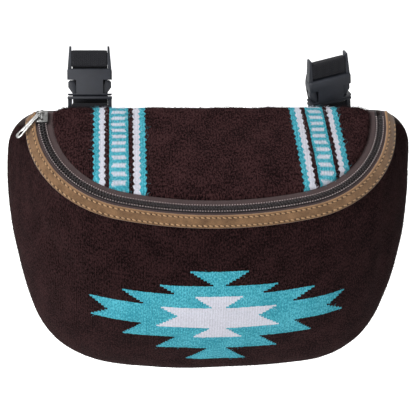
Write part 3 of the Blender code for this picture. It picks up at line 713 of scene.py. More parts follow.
def suede_finish():
    """Napped leather, paler and rubbed along its upper edge, darker along its stitch rows, with shade painted
    into the needle holes.
    """
    hide = bpy.context.scene.pouch_zip
    made = Finish("suede", Sheen_Weight=0.3, Sheen_Roughness=0.5, Specular_IOR_Level=0.2)
    along, across, skin = made.surface("along", "across")
    nap = made.grain(skin, 1700.0, 3.0, 0.7)
    cloud = made.grain(skin, 120.0, 4.0, 0.6)
    pores = made.node("ShaderNodeTexVoronoi", None, {"Vector": skin, "Scale": 1400.0})["Distance"]
    made.bump(nap * 0.7 + cloud * 1.2 + pores * 0.35, 0.00022)
    tone = made.mix(made.rise(cloud * 0.6 + nap * 0.4, 0.36, 0.62), hide.suede_dark, hide.suede)
    rubbed = 1 - (across / 0.0017).clamped()
    tone = made.mix(rubbed * (cloud * 0.6 + 0.35), tone, shade(hide.suede, 1.75))
    # Painted shade: dark dots in the needle holes between the stitches; the leather is also darker along each
    # stitch row
    for number, out in enumerate(STITCH_ROWS):
        near = (1 - abs(across - out) / 0.0009).clamped()
        since = along - (TRIM_THICKNESS / 2 + FIRST_STITCH + 0.5 * number * hide.stitch_pitch)
        hole = (since.zigzag(hide.stitch_pitch / 2) * (2 / hide.stitch_pitch) - 0.45).clamped() * 1.6
        tone = made.mix(near * (hole + 0.25), tone, shade(hide.suede_dark, 0.3))
    made.paint(tone)
    made.rough(nap * 0.15 + 0.8)
    return made.material


def metal_finish(name, strength):
    """Plated zinc with fine scratches and duller hollows. Its strength scales its colour; below 1 it paints
    shade onto the whole piece.
    """
    made = Finish(name, Metallic=1.0)
    place = made.own_place()
    drawn = made.node("ShaderNodeMapping", None, {"Vector": place, "Scale": (900.0, 900.0, 160.0)})["Vector"]
    scratches = made.grain(drawn, 4.0, 3.0)
    dull = made.grain(place, 260.0, 3.0)
    made.paint(made.shades(dull, bpy.context.scene.pouch_zip.metal, 0.7 * strength, 1.25 * strength))
    made.rough(scratches * 0.22 + dull * 0.15 + 0.16)
    made.bump(scratches, 0.00003, 0.6)
    return made.material


def plastic_finish():
    """Moulded plastic with a fine spark-eroded grain and rubbed patches."""
    made = Finish("buckle_plastic", Specular_IOR_Level=0.28)
    place = made.own_place()
    pits = made.grain(place, 3600.0)
    rubs = made.grain(place, 140.0, 3.0)
    made.paint(made.shades(rubs, bpy.context.scene.pouch_strap.plastic, 0.85, 1.25))
    made.rough(rubs * 0.16 + pits * 0.1 + 0.42)
    made.bump(pits, 0.00005, 0.6)
    return made.material


def webbing_finish():
    """Woven strap: herringbone ribs along it, crossed by weft rows, and a plain rounded selvedge."""
    strap = bpy.context.scene.pouch_strap
    made = Finish("webbing", Sheen_Weight=0.03, Specular_IOR_Level=0.18)
    along, across, cloth = made.surface("along", "across")
    fibre = made.grain(cloth, 2600.0)
    twill = (along + abs(across).zigzag(0.0029) * 0.9).wave(strap.web_row)
    made.bump(twill * 0.45 + across.wave(0.00145) * 0.25 + fibre * 0.5, 0.00022)
    wear = made.grain(cloth, 110.0, 3.0)
    # Painted shade: the twill darkens the colour in its grooves and lightens it on its ribs; fibre and wear
    # vary the tone
    light = (twill * 0.18 + 0.4 + fibre * 0.35 + wear * 0.2).clamped()
    made.paint(made.mix(light, shade(strap.webbing, 0.55), shade(strap.webbing, 1.45)))
    made.rough(wear * 0.15 + 0.7)
    return made.material


def canvas_finish():
    """Plain-weave cloth of the back panel."""
    strap = bpy.context.scene.pouch_strap
    made = Finish("back_cloth", Sheen_Weight=0.15, Specular_IOR_Level=0.25)
    across, down, cloth = made.surface("across", "down")
    slub = made.grain(cloth, 900.0)
    uneven = (slub - 0.5) * 0.0003
    weave = (across + uneven).wave(0.0011) * (down + uneven).wave(0.0011)
    made.bump(weave * 0.6 + slub * 0.5, 0.00018)
    wear = made.grain(cloth, 26.0, 4.0)
    # Painted shade: the colour follows the weave, darker in its hollows and lighter on its crests; slub and
    # wear vary the tone
    light = (weave * 0.25 + 0.3 + slub * 0.3 + wear * 0.25).clamped()
    made.paint(made.mix(light, shade(strap.back, 0.6), shade(strap.back, 1.7)))
    made.rough(wear * 0.1 + 0.85)
    return made.material


def link(name, mesh, finish):
    obj = bpy.data.objects.new(name, mesh)
    bpy.context.scene.collection.objects.link(obj)
    mesh.materials.append(finish)
    return obj


def declare(obj, body, node=None):
    """Says what a piece rides on and the solid that it stands for, where it has one."""
    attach(obj, body)
    if node:
        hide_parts(node)


def measure(mesh, **measures):
    """Gives the mesh's points the measures that its material reads."""
    for name, values in measures.items():
        attribute = mesh.attributes.new(name, "FLOAT", "POINT")
        attribute.data.foreach_set("value", np.ravel(values).astype(np.float32))
    mesh.shade_smooth()


def sheet(name, grid, finish, closed=False, **measures):
    """A mesh through a grid of points that carries the given measures. If closed, its rows are rings."""
    rows, columns = grid.shape[:2]
    index = np.arange(rows * columns).reshape(rows, columns)
    if closed:
        index = np.concatenate([index, index[:, :1]], axis=1)
    faces = np.stack([index[:-1, :-1], index[:-1, 1:], index[1:, 1:], index[1:, :-1]], -1).reshape(-1, 4)
    mesh = bpy.data.meshes.new(name)
    mesh.from_pydata(grid.reshape(-1, 3).tolist(), [], faces.tolist())
    if closed:
        cap_ends(mesh, columns)
    measure(mesh, **measures)
    return link(name, mesh, finish)


def cap_ends(mesh, columns):
    bm = bmesh.new()
    bm.from_mesh(mesh)
    bm.verts.ensure_lookup_table()
    bm.faces.new([bm.verts[i] for i in range(columns)])
    bm.faces.new([bm.verts[len(bm.verts) - 1 - i] for i in range(columns)])
    bmesh.ops.recalc_face_normals(bm, faces=bm.faces)
    bm.to_mesh(mesh)
    bm.free()


def swept(name, rows, section, distances, finish):
    """A closed (across, up) section carried along a path, with both measures. Each distance has its row."""
    across = np.array([[out for out, _ in section]] * len(rows))
    along = np.array([[distance] * len(section) for distance in distances])
    return sheet(name, np.array(rows), finish, closed=True, across=across, along=along)


def ring_round(side, lift, count):
    """Directions evenly round a line, from two that are square to it."""
    angles = [2 * math.pi * k / count for k in range(count)]
    return [side * math.cos(angle) + lift * math.sin(angle) for angle in angles]


def swell(grid, scale):
    """Slow uneven rises and falls over a grid."""
    return np.array([[noise.noise(Vector(p) * scale) for p in line] for line in grid])


def shifted(height):
    """How far the cloth at a height is shifted left."""
    return CLOTH_SHIFT * np.clip(-height / SHIFT_DEPTH, 0.0, 1.0)


def finish_cloth(obj):
    """Rounds the cloth and applies what it has been given."""
    obj.modifiers.new("Rounding", "SUBSURF").levels = 1
    graph = bpy.context.evaluated_depsgraph_get()
    obj.data = bpy.data.meshes.new_from_object(obj.evaluated_get(graph))
    obj.modifiers.clear()


def measures_of(grid, start):
    """The distances over the surface: across each row from the middle column, and down each column."""
    down = np.zeros(grid.shape[:2])
    down[:, 1:] = np.cumsum(np.linalg.norm(np.diff(grid, axis=1), axis=2), axis=1)
    across = np.zeros(grid.shape[:2])
    across[1:] = np.cumsum(np.linalg.norm(np.diff(grid, axis=0), axis=2), axis=0)
    across -= across[grid.shape[0] // 2][None, :]
    return across, down + start


def settle_cloth(obj, pinned, pressure, most):
    """Lets the cloth settle a little under its own pressure, with the pinned points held."""
    before = np.array([v.co for v in obj.data.vertices])
    group = obj.vertex_groups.new(name="sewn")
    group.add([int(i) for i in pinned], 1.0, "REPLACE")
    modifier = obj.modifiers.new("Cloth", "CLOTH")
    for setting, value in (
        ("vertex_group_mass", "sewn"),
        ("mass", 0.25),
        ("tension_stiffness", 25.0),
        ("compression_stiffness", 12.0),
        ("shear_stiffness", 6.0),
        ("bending_stiffness", 1.2),
        ("use_pressure", True),
        ("uniform_pressure_force", pressure),
    ):
        setattr(modifier.settings, setting, value)
    modifier.settings.effector_weights.gravity = 0.35
    modifier.collision_settings.use_collision = False
    modifier.point_cache.frame_start = 1
    modifier.point_cache.frame_end = SETTLE_FRAMES
    for moment in range(1, SETTLE_FRAMES + 1):
        bpy.context.scene.frame_set(moment)
    settled = obj.evaluated_get(bpy.context.evaluated_depsgraph_get())
    after = np.array([v.co for v in settled.to_mesh().vertices])
    settled.to_mesh_clear()
    obj.modifiers.clear()
    obj.vertex_groups.clear()
    bpy.context.scene.frame_set(1)
    move = after - before
    size = np.linalg.norm(move, axis=1, keepdims=True)
    move *= most * np.tanh(size / most) / np.maximum(size, 1e-9)
    obj.data.vertices.foreach_set("co", (before + move).reshape(-1))
    obj.data.update()


def groove(grid, start, end, depth, width):
    """How far a soft fold between two (x, z) places pushes each point in."""
    a = np.array(start)
    b = np.array(end)
    flat = grid[..., [0, 2]]
    share = np.clip(((flat - a) @ (b - a)) / ((b - a) @ (b - a)), 0, 1)
    nearest = a + share[..., None] * (b - a)
    away = np.linalg.norm(flat - nearest, axis=-1)
    return depth * np.exp(-((away / width) ** 2)) * (0.5 + 0.5 * np.sin(np.pi * share))


def grid_normals(grid):
    normal = np.cross(np.gradient(grid, axis=0), np.gradient(grid, axis=1))
    normal /= np.maximum(np.linalg.norm(normal, axis=2, keepdims=True), 1e-12)
    middle = normal[grid.shape[0] // 2, grid.shape[1] // 2]
    return normal if middle[1] < 0 else -normal


def front_grid(columns, rows):
    grid = np.array([[tuple(p) for p in front_section(i / columns, rows)] for i in range(columns + 1)])
    grid[..., 0] -= shifted(grid[..., 2])
    return grid


def loose_hairs(name, grid, across, down, finish, seed):
    """Fine curved hairs that stand on a panel's outer face and take their colour from where they stand."""
    yarn = bpy.context.scene.pouch_wool
    chance = np.random.default_rng(seed)
    count = yarn.hairs
    rows = chance.integers(2, grid.shape[0] - 2, count)
    columns = chance.integers(1, grid.shape[1] - 1, count)
    root = grid[rows, columns] + (grid[rows + 1, columns] - grid[rows, columns]) * chance.random((count, 1))
    along = np.gradient(grid, axis=0)[rows, columns]
    along /= np.linalg.norm(along, axis=1, keepdims=True)
    normal = grid_normals(grid)[rows, columns]
    beside = np.cross(normal, along)
    angle = chance.uniform(0, 2 * math.pi, (count, 1))
    flat = along * np.cos(angle) + beside * np.sin(angle)
    turned = beside * np.cos(angle) - along * np.sin(angle)
    size = yarn.hair_length * chance.uniform(0.5, 1.3, (count, 1))
    lift = chance.uniform(0.15, 0.8, (count, 1))
    curl = chance.uniform(-0.5, 0.5, (count, 1))
    middle = root + size * (0.5 * flat + lift * 0.5 * normal)
    tip = root + size * (0.95 * flat + lift * 0.55 * normal + curl * turned)
    thick = ((root - normal * 0.0002, 1.0), (middle, 0.75), (tip, 0.2))
    ways = ring_round(turned, normal, 3)
    rings = [centre + way * yarn.hair_radius * share for centre, share in thick for way in ways]
    one = [(a + k, a + (k + 1) % 3, a + 3 + (k + 1) % 3, a + 3 + k) for a in (0, 3) for k in range(3)]
    faces = (np.array(one)[None] + len(rings) * np.arange(count)[:, None, None]).reshape(-1, 4)
    mesh = bpy.data.meshes.new(name)
    mesh.from_pydata(np.stack(rings, 1).reshape(-1, 3).tolist(), [], faces.tolist())
    place = {"across": across, "down": down}
    measure(mesh, **{key: np.repeat(values[rows, columns], len(rings)) for key, values in place.items()})
    declare(link(name, mesh, finish), "pouch")


class POUCH_OT_front(bpy.types.Operator):
    """Makes the woven front panel, settled, thick and with its diamond"""

    bl_idname = "pouch.front"
    bl_label = "Front panel"

    def execute(self, context):
        columns = 150
        grid = front_grid(columns, 52)
        across, down = measures_of(grid, -0.0085)
        inset = sum(groove(grid, *fold) for fold in FOLDS)
        free = np.minimum(1.0, np.minimum(down / 0.03, (down[:, -1:] - down) / 0.02))
        side = np.minimum(np.arange(columns + 1), np.arange(columns + 1)[::-1])[:, None] / 8.0
        free = free * np.minimum(1.0, side)
        grid = grid + grid_normals(grid) * ((swell(grid, 34.0) * 0.0008 - inset) * free)[..., None]
        finish = wool_finish("wool_front", diamond_pattern, 0.54)
        obj = sheet("wool_front", grid, finish, across=across, down=down)
        if obj.data.polygons[len(obj.data.polygons) // 2].normal.y > 0:
            obj.data.flip_normals()
        index = np.arange(grid.shape[0] * grid.shape[1]).reshape(grid.shape[:2])
        sewn = (index[:, : TUCK_ROWS + 1], index[:, -2:], index[:2], index[-2:])
        held = np.unique(np.concatenate([part.ravel() for part in sewn]))
        settle_cloth(obj, held, 0.8, context.scene.pouch_wool.settle)
        settled = np.array([v.co for v in obj.data.vertices]).reshape(grid.shape)
        loose_hairs("front_hairs", settled, across, down, finish, 3)
        cloth = obj.modifiers.new("Cloth", "SOLIDIFY")
        cloth.thickness = WOOL_THICKNESS - 0.0004
        cloth.offset = -1.0
        finish_cloth(obj)
        declare(obj, "pouch", "front_panel")
        return {"FINISHED"}


def flap_grid(columns, rows):
    """The flap's outer and inner face in the zip's plane, from its back edge to the zip tape and back."""
    outer = FLAP_OVER_TAPE - (TAPE_INNER + UPPER_TAPE_WIDTH + GAP)
    half = ZIP_HALF_WIDTH + outer
    shares = [0.5 - 0.5 * math.cos(math.pi * j / rows) for j in range(rows + 1)]
    grid = []
    for i in range(columns + 1):
        fraction = i / columns
        distance = TOP_SIDE_GAP + fraction * (ZIP.length - 2 * TOP_SIDE_GAP)
        at_zip = ZIP_PLANE.inverted() @ on_zip(distance, outer, 0.0)
        wave = 0.0005 * noise.noise(Vector((fraction * 14.0, 5.0, 0.0)))
        wrap = (FLAP_WRAP + wave) * min(1.0, fraction / 0.035, (1 - fraction) / 0.035)
        at_back = Vector((half * (2 * fraction - 1), TOP_BACK_EDGE + wrap, 0.0))
        reach = (at_zip - at_back).length
        full = min(1.0, reach / 0.03)
        line = []
        under = []
        for share in shares:
            point = at_back.lerp(at_zip, share)
            bulge = TOP_BULGE * reach / ZIP_HALF_WIDTH * math.sin(math.pi * share)
            height = TOP_RISE + bulge + full * FLAP_ROLL * math.exp(-(((share * reach - 0.006) / 0.008) ** 2))
            to_zip = min(1.0, (1 - share) * reach / FLAP_ROUNDING)
            to_back = min(1.0, share * reach / FLAP_ROUNDING)
            rounding = math.sqrt(1 - (1 - to_zip) ** 2) * math.sqrt(1 - (1 - to_back) ** 2)
            base = TOP_RISE - WOOL_THICKNESS + bulge
            line.append((point.x, point.y, base + (height - base) * (0.16 + 0.84 * rounding)))
            under.append((point.x, point.y, base + 0.0003))
        grid.append(line + under[::-1])
    return np.array(grid)


class POUCH_OT_flap(bpy.types.Operator):
    """Makes the woven flap between the top edge and the zip, with its striped bands"""

    bl_idname = "pouch.flap"
    bl_label = "Flap"

    def execute(self, context):
        rows = 44
        plane = flap_grid(200, rows)
        upper = plane[..., 2] > plane[:, ::-1, 2]
        plane[..., 2] += (swell(plane, 45.0) + 0.5 * swell(plane, 130.0)) * 0.0006 * upper
        grid = plane @ np.array(ZIP_PLANE.to_3x3()).T + np.array(ZIP_PLANE.translation)
        across = plane[..., 0]
        down = -plane[..., 1]
        outer = np.s_[:, : rows + 1]
        # The flap's higher level paints light onto its ground, for the nap catching the light
        finish = wool_finish("wool_flap", band_pattern, 0.92)
        loose_hairs("flap_hairs", grid[outer], across[outer], down[outer], finish, 5)
        obj = sheet("wool_flap", grid, finish, closed=True, across=across, down=down)
        finish_cloth(obj)
        declare(obj, "pouch", "top_panel")
        return {"FINISHED"}


def back_grid(rings, steps):
    """Rings from the middle of the back panel out to its seam."""
    outline = [SEAM.at(SEAM.length * i / steps)[0] for i in range(steps + 1)]
    top = [Vector((TOP_EDGE_HALF * (1 - 2 * i / 40), 0.0)) for i in range(1, 40)]
    outline = np.array([(p.x, p.y) for p in outline + top])
    centre = np.array((0.0, -0.09))
    grid = np.zeros((rings + 1, len(outline), 3))
    for i in range(rings + 1):
        share = 1 - (1 - i / rings) ** 1.6
        flat = centre + max(share, 0.02) * (outline - centre)
        grid[i, :, 0] = flat[:, 0] - shifted(flat[:, 1])
        grid[i, :, 2] = flat[:, 1]
    return grid


class POUCH_OT_back(bpy.types.Operator):
    """Makes the back panel's cloth with its sewn edge"""

    bl_idname = "pouch.back"
    bl_label = "Back panel"

    def execute(self, context):
        outer = back_grid(36, 200)
        inner = outer[::-1].copy()
        inner[..., 1] = -BACK_THICKNESS + 0.0001
        rim = np.linspace(1, 0, outer.shape[0])[:, None] ** 0.5
        outer[..., 1] = np.minimum(0.0, swell(outer, 24.0) * 0.0006 * rim - 0.0001)
        for strap in (-STRAP_HALF_SPACING, STRAP_HALF_SPACING):
            under = np.exp(-(((outer[..., 0] - strap) / 0.018) ** 4)) * (outer[..., 2] > -0.06)
            outer[..., 1] = outer[..., 1] * (1 - under) - 0.0001 * under
        outer[-1, :, 1] = -0.0006
        inner[0, :, 1] = -BACK_THICKNESS + 0.0006
        grid = np.concatenate([outer, inner])
        obj = sheet("back_cloth", grid, canvas_finish(), closed=True, across=grid[..., 0], down=-grid[..., 2])
        declare(obj, "pouch", "back_panel")
        thread = thread_finish("back_thread", context.scene.pouch_strap.thread)
        steps = int(SEAM.length / 0.0042)
        places = []
        for i in range(1, steps):
            point, heading = SEAM.at(SEAM.length * i / steps)
            flat = point + Vector((-math.sin(heading), math.cos(heading))) * 0.006
            centre = Vector((flat.x - shifted(flat.y), 0.0002, flat.y))
            places.append((centre, Vector((math.cos(heading), 0, math.sin(heading)))))
        edge = stitches("back_edge_stitches", places, Vector((0, 1, 0)), 0.0028, 0.0003, thread)
        declare(edge, "pouch")
        return {"FINISHED"}


def stitches(name, places, up, size, radius, finish):
    """Short rounded stitches at (centre, direction) places, flattened along up. Up may be one or a list."""
    ring = 6
    profile = ((-0.5, 0.25), (-0.40, 0.8), (-0.16, 1.0), (0.16, 1.0), (0.40, 0.8), (0.5, 0.25))
    verts = []
    faces = []
    for number, (centre, along) in enumerate(places):
        top = up[number] if isinstance(up, list) else up
        along = along.normalized()
        side = along.cross(top).normalized()
        lift = side.cross(along).normalized()
        base = len(verts)
        for position, width in profile:
            middle = centre + along * position * size - lift * 0.5 * radius * (2 * abs(position)) ** 2
            verts += [middle + way * radius * width for way in ring_round(side, lift, ring)]
        for a in range(base, len(verts) - ring, ring):
            for k in range(ring):
                m = (k + 1) % ring
                faces.append((a + k, a + m, a + ring + m, a + ring + k))
        faces.append(tuple(base + k for k in reversed(range(ring))))
        faces.append(tuple(len(verts) - ring + k for k in range(ring)))
    mesh = bpy.data.meshes.new(name)
    mesh.from_pydata([tuple(v) for v in verts], [], faces)
    mesh.shade_smooth()
    return link(name, mesh, finish)


def zip_tape(name, inner, outer, finish):
    """A thin band with soft edges along the whole zip."""
    top = []
    for i in range(13):
        share = i / 12
        crown = math.sin(math.pi * share) ** 0.5 * 0.0005
        top.append((inner + (outer - inner) * share, -0.0004 + crown))
    section = top + [(out, -TAPE_THICKNESS) for out, _ in reversed(top[1:-1])]
    count = round(ZIP.length / 0.002)
    distances = [ZIP.length * i / count for i in range(count + 1)]
    rows = [[tuple(on_zip(distance, out, up)) for out, up in section] for distance in distances]
    return swept(name, rows, section, distances, finish)


def coil_row(name, side, shift, finish, settings):
    """One row of the coil: a wire wound round the tape's edge that reaches between the other row's turns."""
    turn_points = 14
    pitch = settings.coil_pitch
    turns = int((ZIP.length - COIL_START - 2 * pitch) / pitch)
    out_middle = side * (COIL_HALF_WIDTH - TOOTH_REACH) / 2
    out_reach = (COIL_HALF_WIDTH + TOOTH_REACH) / 2 - settings.coil_wire
    up_middle = GAP + COIL_HEIGHT / 2
    up_reach = COIL_HEIGHT / 2 - settings.coil_wire * 0.8
    points = []
    for i in range(turns * turn_points + 1):
        turn = 2 * math.pi * i / turn_points
        distance = COIL_START + shift + pitch * i / turn_points
        out = out_middle + side * out_reach * math.cos(turn)
        points.append(on_zip(min(distance, ZIP.length), out, up_middle + up_reach * math.sin(turn)))
    grid = []
    for i, point in enumerate(points):
        ahead = (points[min(i + 1, len(points) - 1)] - points[max(i - 1, 0)]).normalized()
        beside = ahead.cross(ZIP_UP).normalized()
        ways = ring_round(beside, beside.cross(ahead), 6)
        grid.append([tuple(point + settings.coil_wire * way) for way in ways])
    return sheet(name, np.array(grid), finish, closed=True)


class POUCH_OT_zip(bpy.types.Operator):
    """Makes the zip's tapes, its two coil rows and the thread that sews them on"""

    bl_idname = "pouch.zip"
    bl_label = "Zip"

    def execute(self, context):
        settings = context.scene.pouch_zip
        tape = tape_finish()
        upper_tape = zip_tape("zip_tape_upper", -TAPE_INNER, -TAPE_INNER - UPPER_TAPE_WIDTH, tape)
        lower_tape = zip_tape("zip_tape_lower", TAPE_INNER, TAPE_INNER + LOWER_TAPE_WIDTH, tape)
        wire = coil_finish()
        upper_coil = coil_row("zip_coil_upper", -1, 0.0, wire, settings)
        lower_coil = coil_row("zip_coil_lower", 1, settings.coil_pitch / 2, wire, settings)
        declare(upper_tape, "pouch", "upper_zip_tape")
        declare(lower_tape, "pouch", "lower_zip_tape")
        declare(upper_coil, "pouch", "upper_zip_coil")
        declare(lower_coil, "pouch", "lower_zip_coil")
        thread = thread_finish("coil_thread", settings.ridge)
        pitch, size, radius = COIL_STITCH
        for label, out in (("upper", -COIL_SEAM), ("lower", COIL_SEAM)):
            places = []
            for i in range(int((ZIP.length - COIL_START - 0.012) / pitch)):
                distance = COIL_START + 0.008 + i * pitch
                here = on_zip(distance, out, GAP + COIL_HEIGHT - 0.0001)
                places.append((here, on_zip(distance + 0.001, out, GAP + COIL_HEIGHT - 0.0001) - here))
            declare(stitches(f"coil_thread_{label}", places, ZIP_UP, size, radius, thread), "pouch")
        return {"FINISHED"}


def trim_point(distance, out, up):
    edge, direction, normal = trim_frame(distance)
    return edge + out * direction + up * normal


class POUCH_OT_trim(bpy.types.Operator):
    """Makes the suede trim round the zip with its two rows of stitches"""

    bl_idname = "pouch.trim"
    bl_label = "Leather trim"

    def execute(self, context):
        settings = context.scene.pouch_zip
        start = TRIM_THICKNESS / 2
        end = ZIP.length - start
        count = 260
        distances = [start + (end - start) * i / count for i in range(count + 1)]
        section = []
        for i in range(21):
            share = i / 20
            out = TRIM_WIDTH * share
            up = -0.0007 * math.exp(-min(share, 1 - share) * TRIM_WIDTH / 0.0004)
            for row in STITCH_ROWS:
                up -= 0.00022 * math.exp(-(((out - row) / 0.0006) ** 2))
            section.append((out, up))
        section += [(TRIM_WIDTH * share, -TRIM_THICKNESS) for share in (0.99, 0.75, 0.5, 0.25, 0.01)]
        rows = []
        for distance in distances:
            ripple = 0.00018 * noise.noise(Vector((distance * 160.0, 3.0, 0.0)))
            lifts = [up + (ripple if up > -0.001 else 0.0) for _, up in section]
            rows.append([tuple(trim_point(distance, out, up)) for (out, _), up in zip(section, lifts)])
        trim = swept("suede_trim", rows, section, distances, suede_finish())
        declare(trim, "pouch", "leather_trim")
        thread = thread_finish("trim_thread", settings.thread)
        for number, out in enumerate(STITCH_ROWS):
            places = []
            ups = []
            for i in range(int((end - start - 2 * FIRST_STITCH) / settings.stitch_pitch)):
                distance = start + FIRST_STITCH + (i + 0.5 * number) * settings.stitch_pitch
                here = trim_point(distance, out, 0.0)
                places.append((here, trim_point(distance + 0.001, out + STITCH_SLANT * 0.001, 0.0) - here))
                ups.append(trim_frame(distance)[2])
            name = f"trim_stitches_{number + 1}"
            row = stitches(name, places, ups, settings.stitch_length, settings.stitch_radius, thread)
            declare(row, "pouch")
        return {"FINISHED"}


def refined(name, node, finish, width):
    """A copy of a rigid solid with its edges rounded, in the solid's own place."""
    bm = bmesh.new()
    bm.from_mesh(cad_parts[node].data)
    bmesh.ops.remove_doubles(bm, verts=bm.verts, dist=2e-6)
    bmesh.ops.dissolve_limit(bm, angle_limit=math.radians(1.0), verts=bm.verts, edges=bm.edges)
    sharp = [e for e in bm.edges if len(e.link_faces) == 2 and e.calc_face_angle(0.0) > math.radians(38.0)]
    shape = {"segments": 2, "profile": 0.5, "affect": "EDGES", "clamp_overlap": True}
    bmesh.ops.bevel(bm, geom=sharp, offset=width, offset_type="OFFSET", **shape)
    mesh = bpy.data.meshes.new(name)
    bm.to_mesh(mesh)
    bm.free()
    mesh.shade_smooth()
    mesh.set_sharp_from_angle(angle=math.radians(50))
    return link(name, mesh, finish)


def clear_channel(slider):
    """Takes the divider post out of the slider's channel, because the coil's rows don't part behind it."""
    low = ZIP_PLANE.inverted()
    middle = low @ on_zip(SLIDER_PLACE + SLIDER_POST_PLACE, 0.0, 0.0)
    bm = bmesh.new()
    bm.from_mesh(slider.data)

    def in_channel(vert):
        point = low @ vert.co
        return (point.xy - middle.xy).length < POST_REACH and -0.0014 < point.z < COIL_HEIGHT + 3 * GAP

    post = [face for face in bm.faces if all(in_channel(vert) for vert in face.verts)]
    bmesh.ops.delete(bm, geom=post, context="FACES")
    bmesh.ops.holes_fill(bm, edges=[edge for edge in bm.edges if edge.is_boundary])
    bm.to_mesh(slider.data)
    bm.free()


def taper_ears(socket, place):
    """Thins the two posts beside the socket's top bar towards their tips, in the buckle's own frame."""
    mesh = socket.data
    turn = np.array(place.to_3x3())
    pivot = np.array(place.translation)
    points = (np.array([v.co for v in mesh.vertices]) - pivot) @ turn
    share = np.clip((points[:, 2] - SOCKET_TOP) / (points[:, 2].max() - SOCKET_TOP), 0.0, 1.0)
    outside = np.clip((np.abs(points[:, 0]) - EAR_INNER) / (EAR_OUTER - EAR_INNER), 0.0, 1.0)
    points[:, 0] -= np.sign(points[:, 0]) * EAR_TAPER * share * outside
    mesh.vertices.foreach_set("co", (points @ turn.T + pivot).reshape(-1))
    mesh.update()


class POUCH_OT_pull(bpy.types.Operator):
    """Makes the slider, its ring and its tab in plated metal"""

    bl_idname = "pouch.pull"
    bl_label = "Slider and pull"

    def execute(self, context):
        pulled = metal_finish("pull_metal", 1.0)
        # The slider is painted with shade: its metal is the pull's at a lower strength
        painted_shade_metal = metal_finish("slider_painted_shade_metal", 0.55)
        for name, node, body, metal, width in (
            ("slider", "zip_slider_body", "slider", painted_shade_metal, 0.00018),
            ("pull_ring", "zip_pull_ring", "pull", pulled, 0.00005),
            ("pull_tab", "zip_pull_tab", "pull", pulled, 0.00022),
        ):
            obj = refined(name, node, metal, width)
            if name == "slider":
                clear_channel(obj)
            declare(obj, body, node)
        return {"FINISHED"}


def web_section():
    """A strap's rounded section as (across, share of the thickness) points."""
    half = WEB_WIDTH / 2
    turns = np.linspace(-1, 1, 17).tolist()
    top = [(half * math.sin(math.pi / 2 * t), 0.5 * (1 - abs(t) ** 6 * 0.75)) for t in turns]
    return top + [(x, -up) for x, up in reversed(top[1:-1])]


def make_web(side, name, node, route, fully_at, none_at, finish):
    """A strap along a route about the tongue bar, which hangs with the buckle above fully_at."""
    x, bar_height, *angles = BUCKLES[side]
    pivot = Vector((x, STRAP_OFFSET, bar_height))
    line = smooth_path([Vector(point) for point in route], 0.0009)
    section = web_section()
    rows = []
    distances = []
    travelled = 0.0
    for i, point in enumerate(line):
        before = line[max(i - 1, 0)]
        ahead = (line[min(i + 1, len(line) - 1)] - before).normalized()
        normal = Vector((-ahead.y, ahead.x)) * WEB_THICKNESS
        share = min(1.0, max(0.0, (point.y - none_at) / (fully_at - none_at)))
        place = hang(pivot, *angles, share * share * (3 - 2 * share))
        rows.append([tuple(place @ Vector((out, *(point + up * normal)))) for out, up in section])
        travelled += (point - before).length
        distances.append(travelled)
    obj = swept(f"{side}_{name}", rows, section, distances, finish)
    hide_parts(f"{side}_{node}")
    return obj


def box_stitch_places(x, low, high, y, inset, pitch):
    """Stitch places round a box on the strap and along its diagonals."""
    half = WEB_WIDTH / 2 - inset
    corners = [Vector((x + out, y, z)) for out, z in ((-half, low), (half, low), (half, high), (-half, high))]
    lines = [(corners[i], corners[(i + 1) % 4]) for i in range(4)]
    lines += [(corners[0], corners[2]), (corners[1], corners[3])]
    places = []
    for a, b in lines:
        count = max(2, round((b - a).length / pitch))
        places += [(a.lerp(b, (i + 0.5) / count), b - a) for i in range(count)]
    return places


class POUCH_OT_straps(bpy.types.Operator):
    """Makes both webs of each strap, their box stitches and the buckle halves"""

    bl_idname = "pouch.straps"
    bl_label = "Straps and buckles"

    def execute(self, context):
        settings = context.scene.pouch_strap
        web = webbing_finish()
        plastic = plastic_finish()
        thread = thread_finish("strap_thread", settings.thread)
        tongue_route, loop_route = web_routes()
        for side, (x, bar_height, *angles) in BUCKLES.items():
            tongue = refined(f"{side}_prongs", f"{side}_buckle_tongue", plastic, settings.rounding)
            declare(tongue, "pouch", f"{side}_buckle_tongue")
            socket = refined(f"{side}_socket", f"{side}_buckle_socket", plastic, settings.rounding)
            place = hang(Vector((x, STRAP_OFFSET, bar_height)), *angles)
            taper_ears(socket, place)
            declare(socket, f"{side}_socket", f"{side}_buckle_socket")
            short = make_web(side, "strap_short", "tongue_web", tongue_route, -0.003, -0.013, web)
            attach(short, "pouch")
            long = make_web(side, "strap_loop", "loop_web", loop_route, 0.022, -0.012, web)
            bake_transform(long)
            low = bar_height - WEB_TAIL + 0.003
            places = box_stitch_places(x, low, bar_height - 0.0245, 0.00555, 0.0028, 0.0026)
            box = stitches(f"{side}_box_stitches", places, Vector((0, 1, 0)), 0.0022, 0.0003, thread)
            declare(box, "pouch")
        return {"FINISHED"}


def make_floor(height):
    reach = 3.0
    mesh = bpy.data.meshes.new("floor")
    corners = [(x * reach, y * reach, height) for x, y in ((-1, -1), (1, -1), (1, 1), (-1, 1))]
    mesh.from_pydata(corners, [], [(0, 1, 2, 3)])
    finish = Finish("floor_paper", Roughness=0.9, Specular_IOR_Level=0.1, Emission_Strength=0.8)
    mottle = finish.grain(finish.own_place(), 3.0)
    finish.paint(finish.mix(mottle, (0.90, 0.90, 0.90), (0.92, 0.92, 0.92)))
    ray = finish.node("ShaderNodeLightPath")
    seen = ray["Is Camera Ray"].or_more(ray["Is Glossy Ray"])
    finish.feed(finish.shader.inputs["Emission Color"], finish.mix(seen, (0.0, 0.0, 0.0), (1.0, 1.0, 1.0)))
    link("floor", mesh, finish.material)


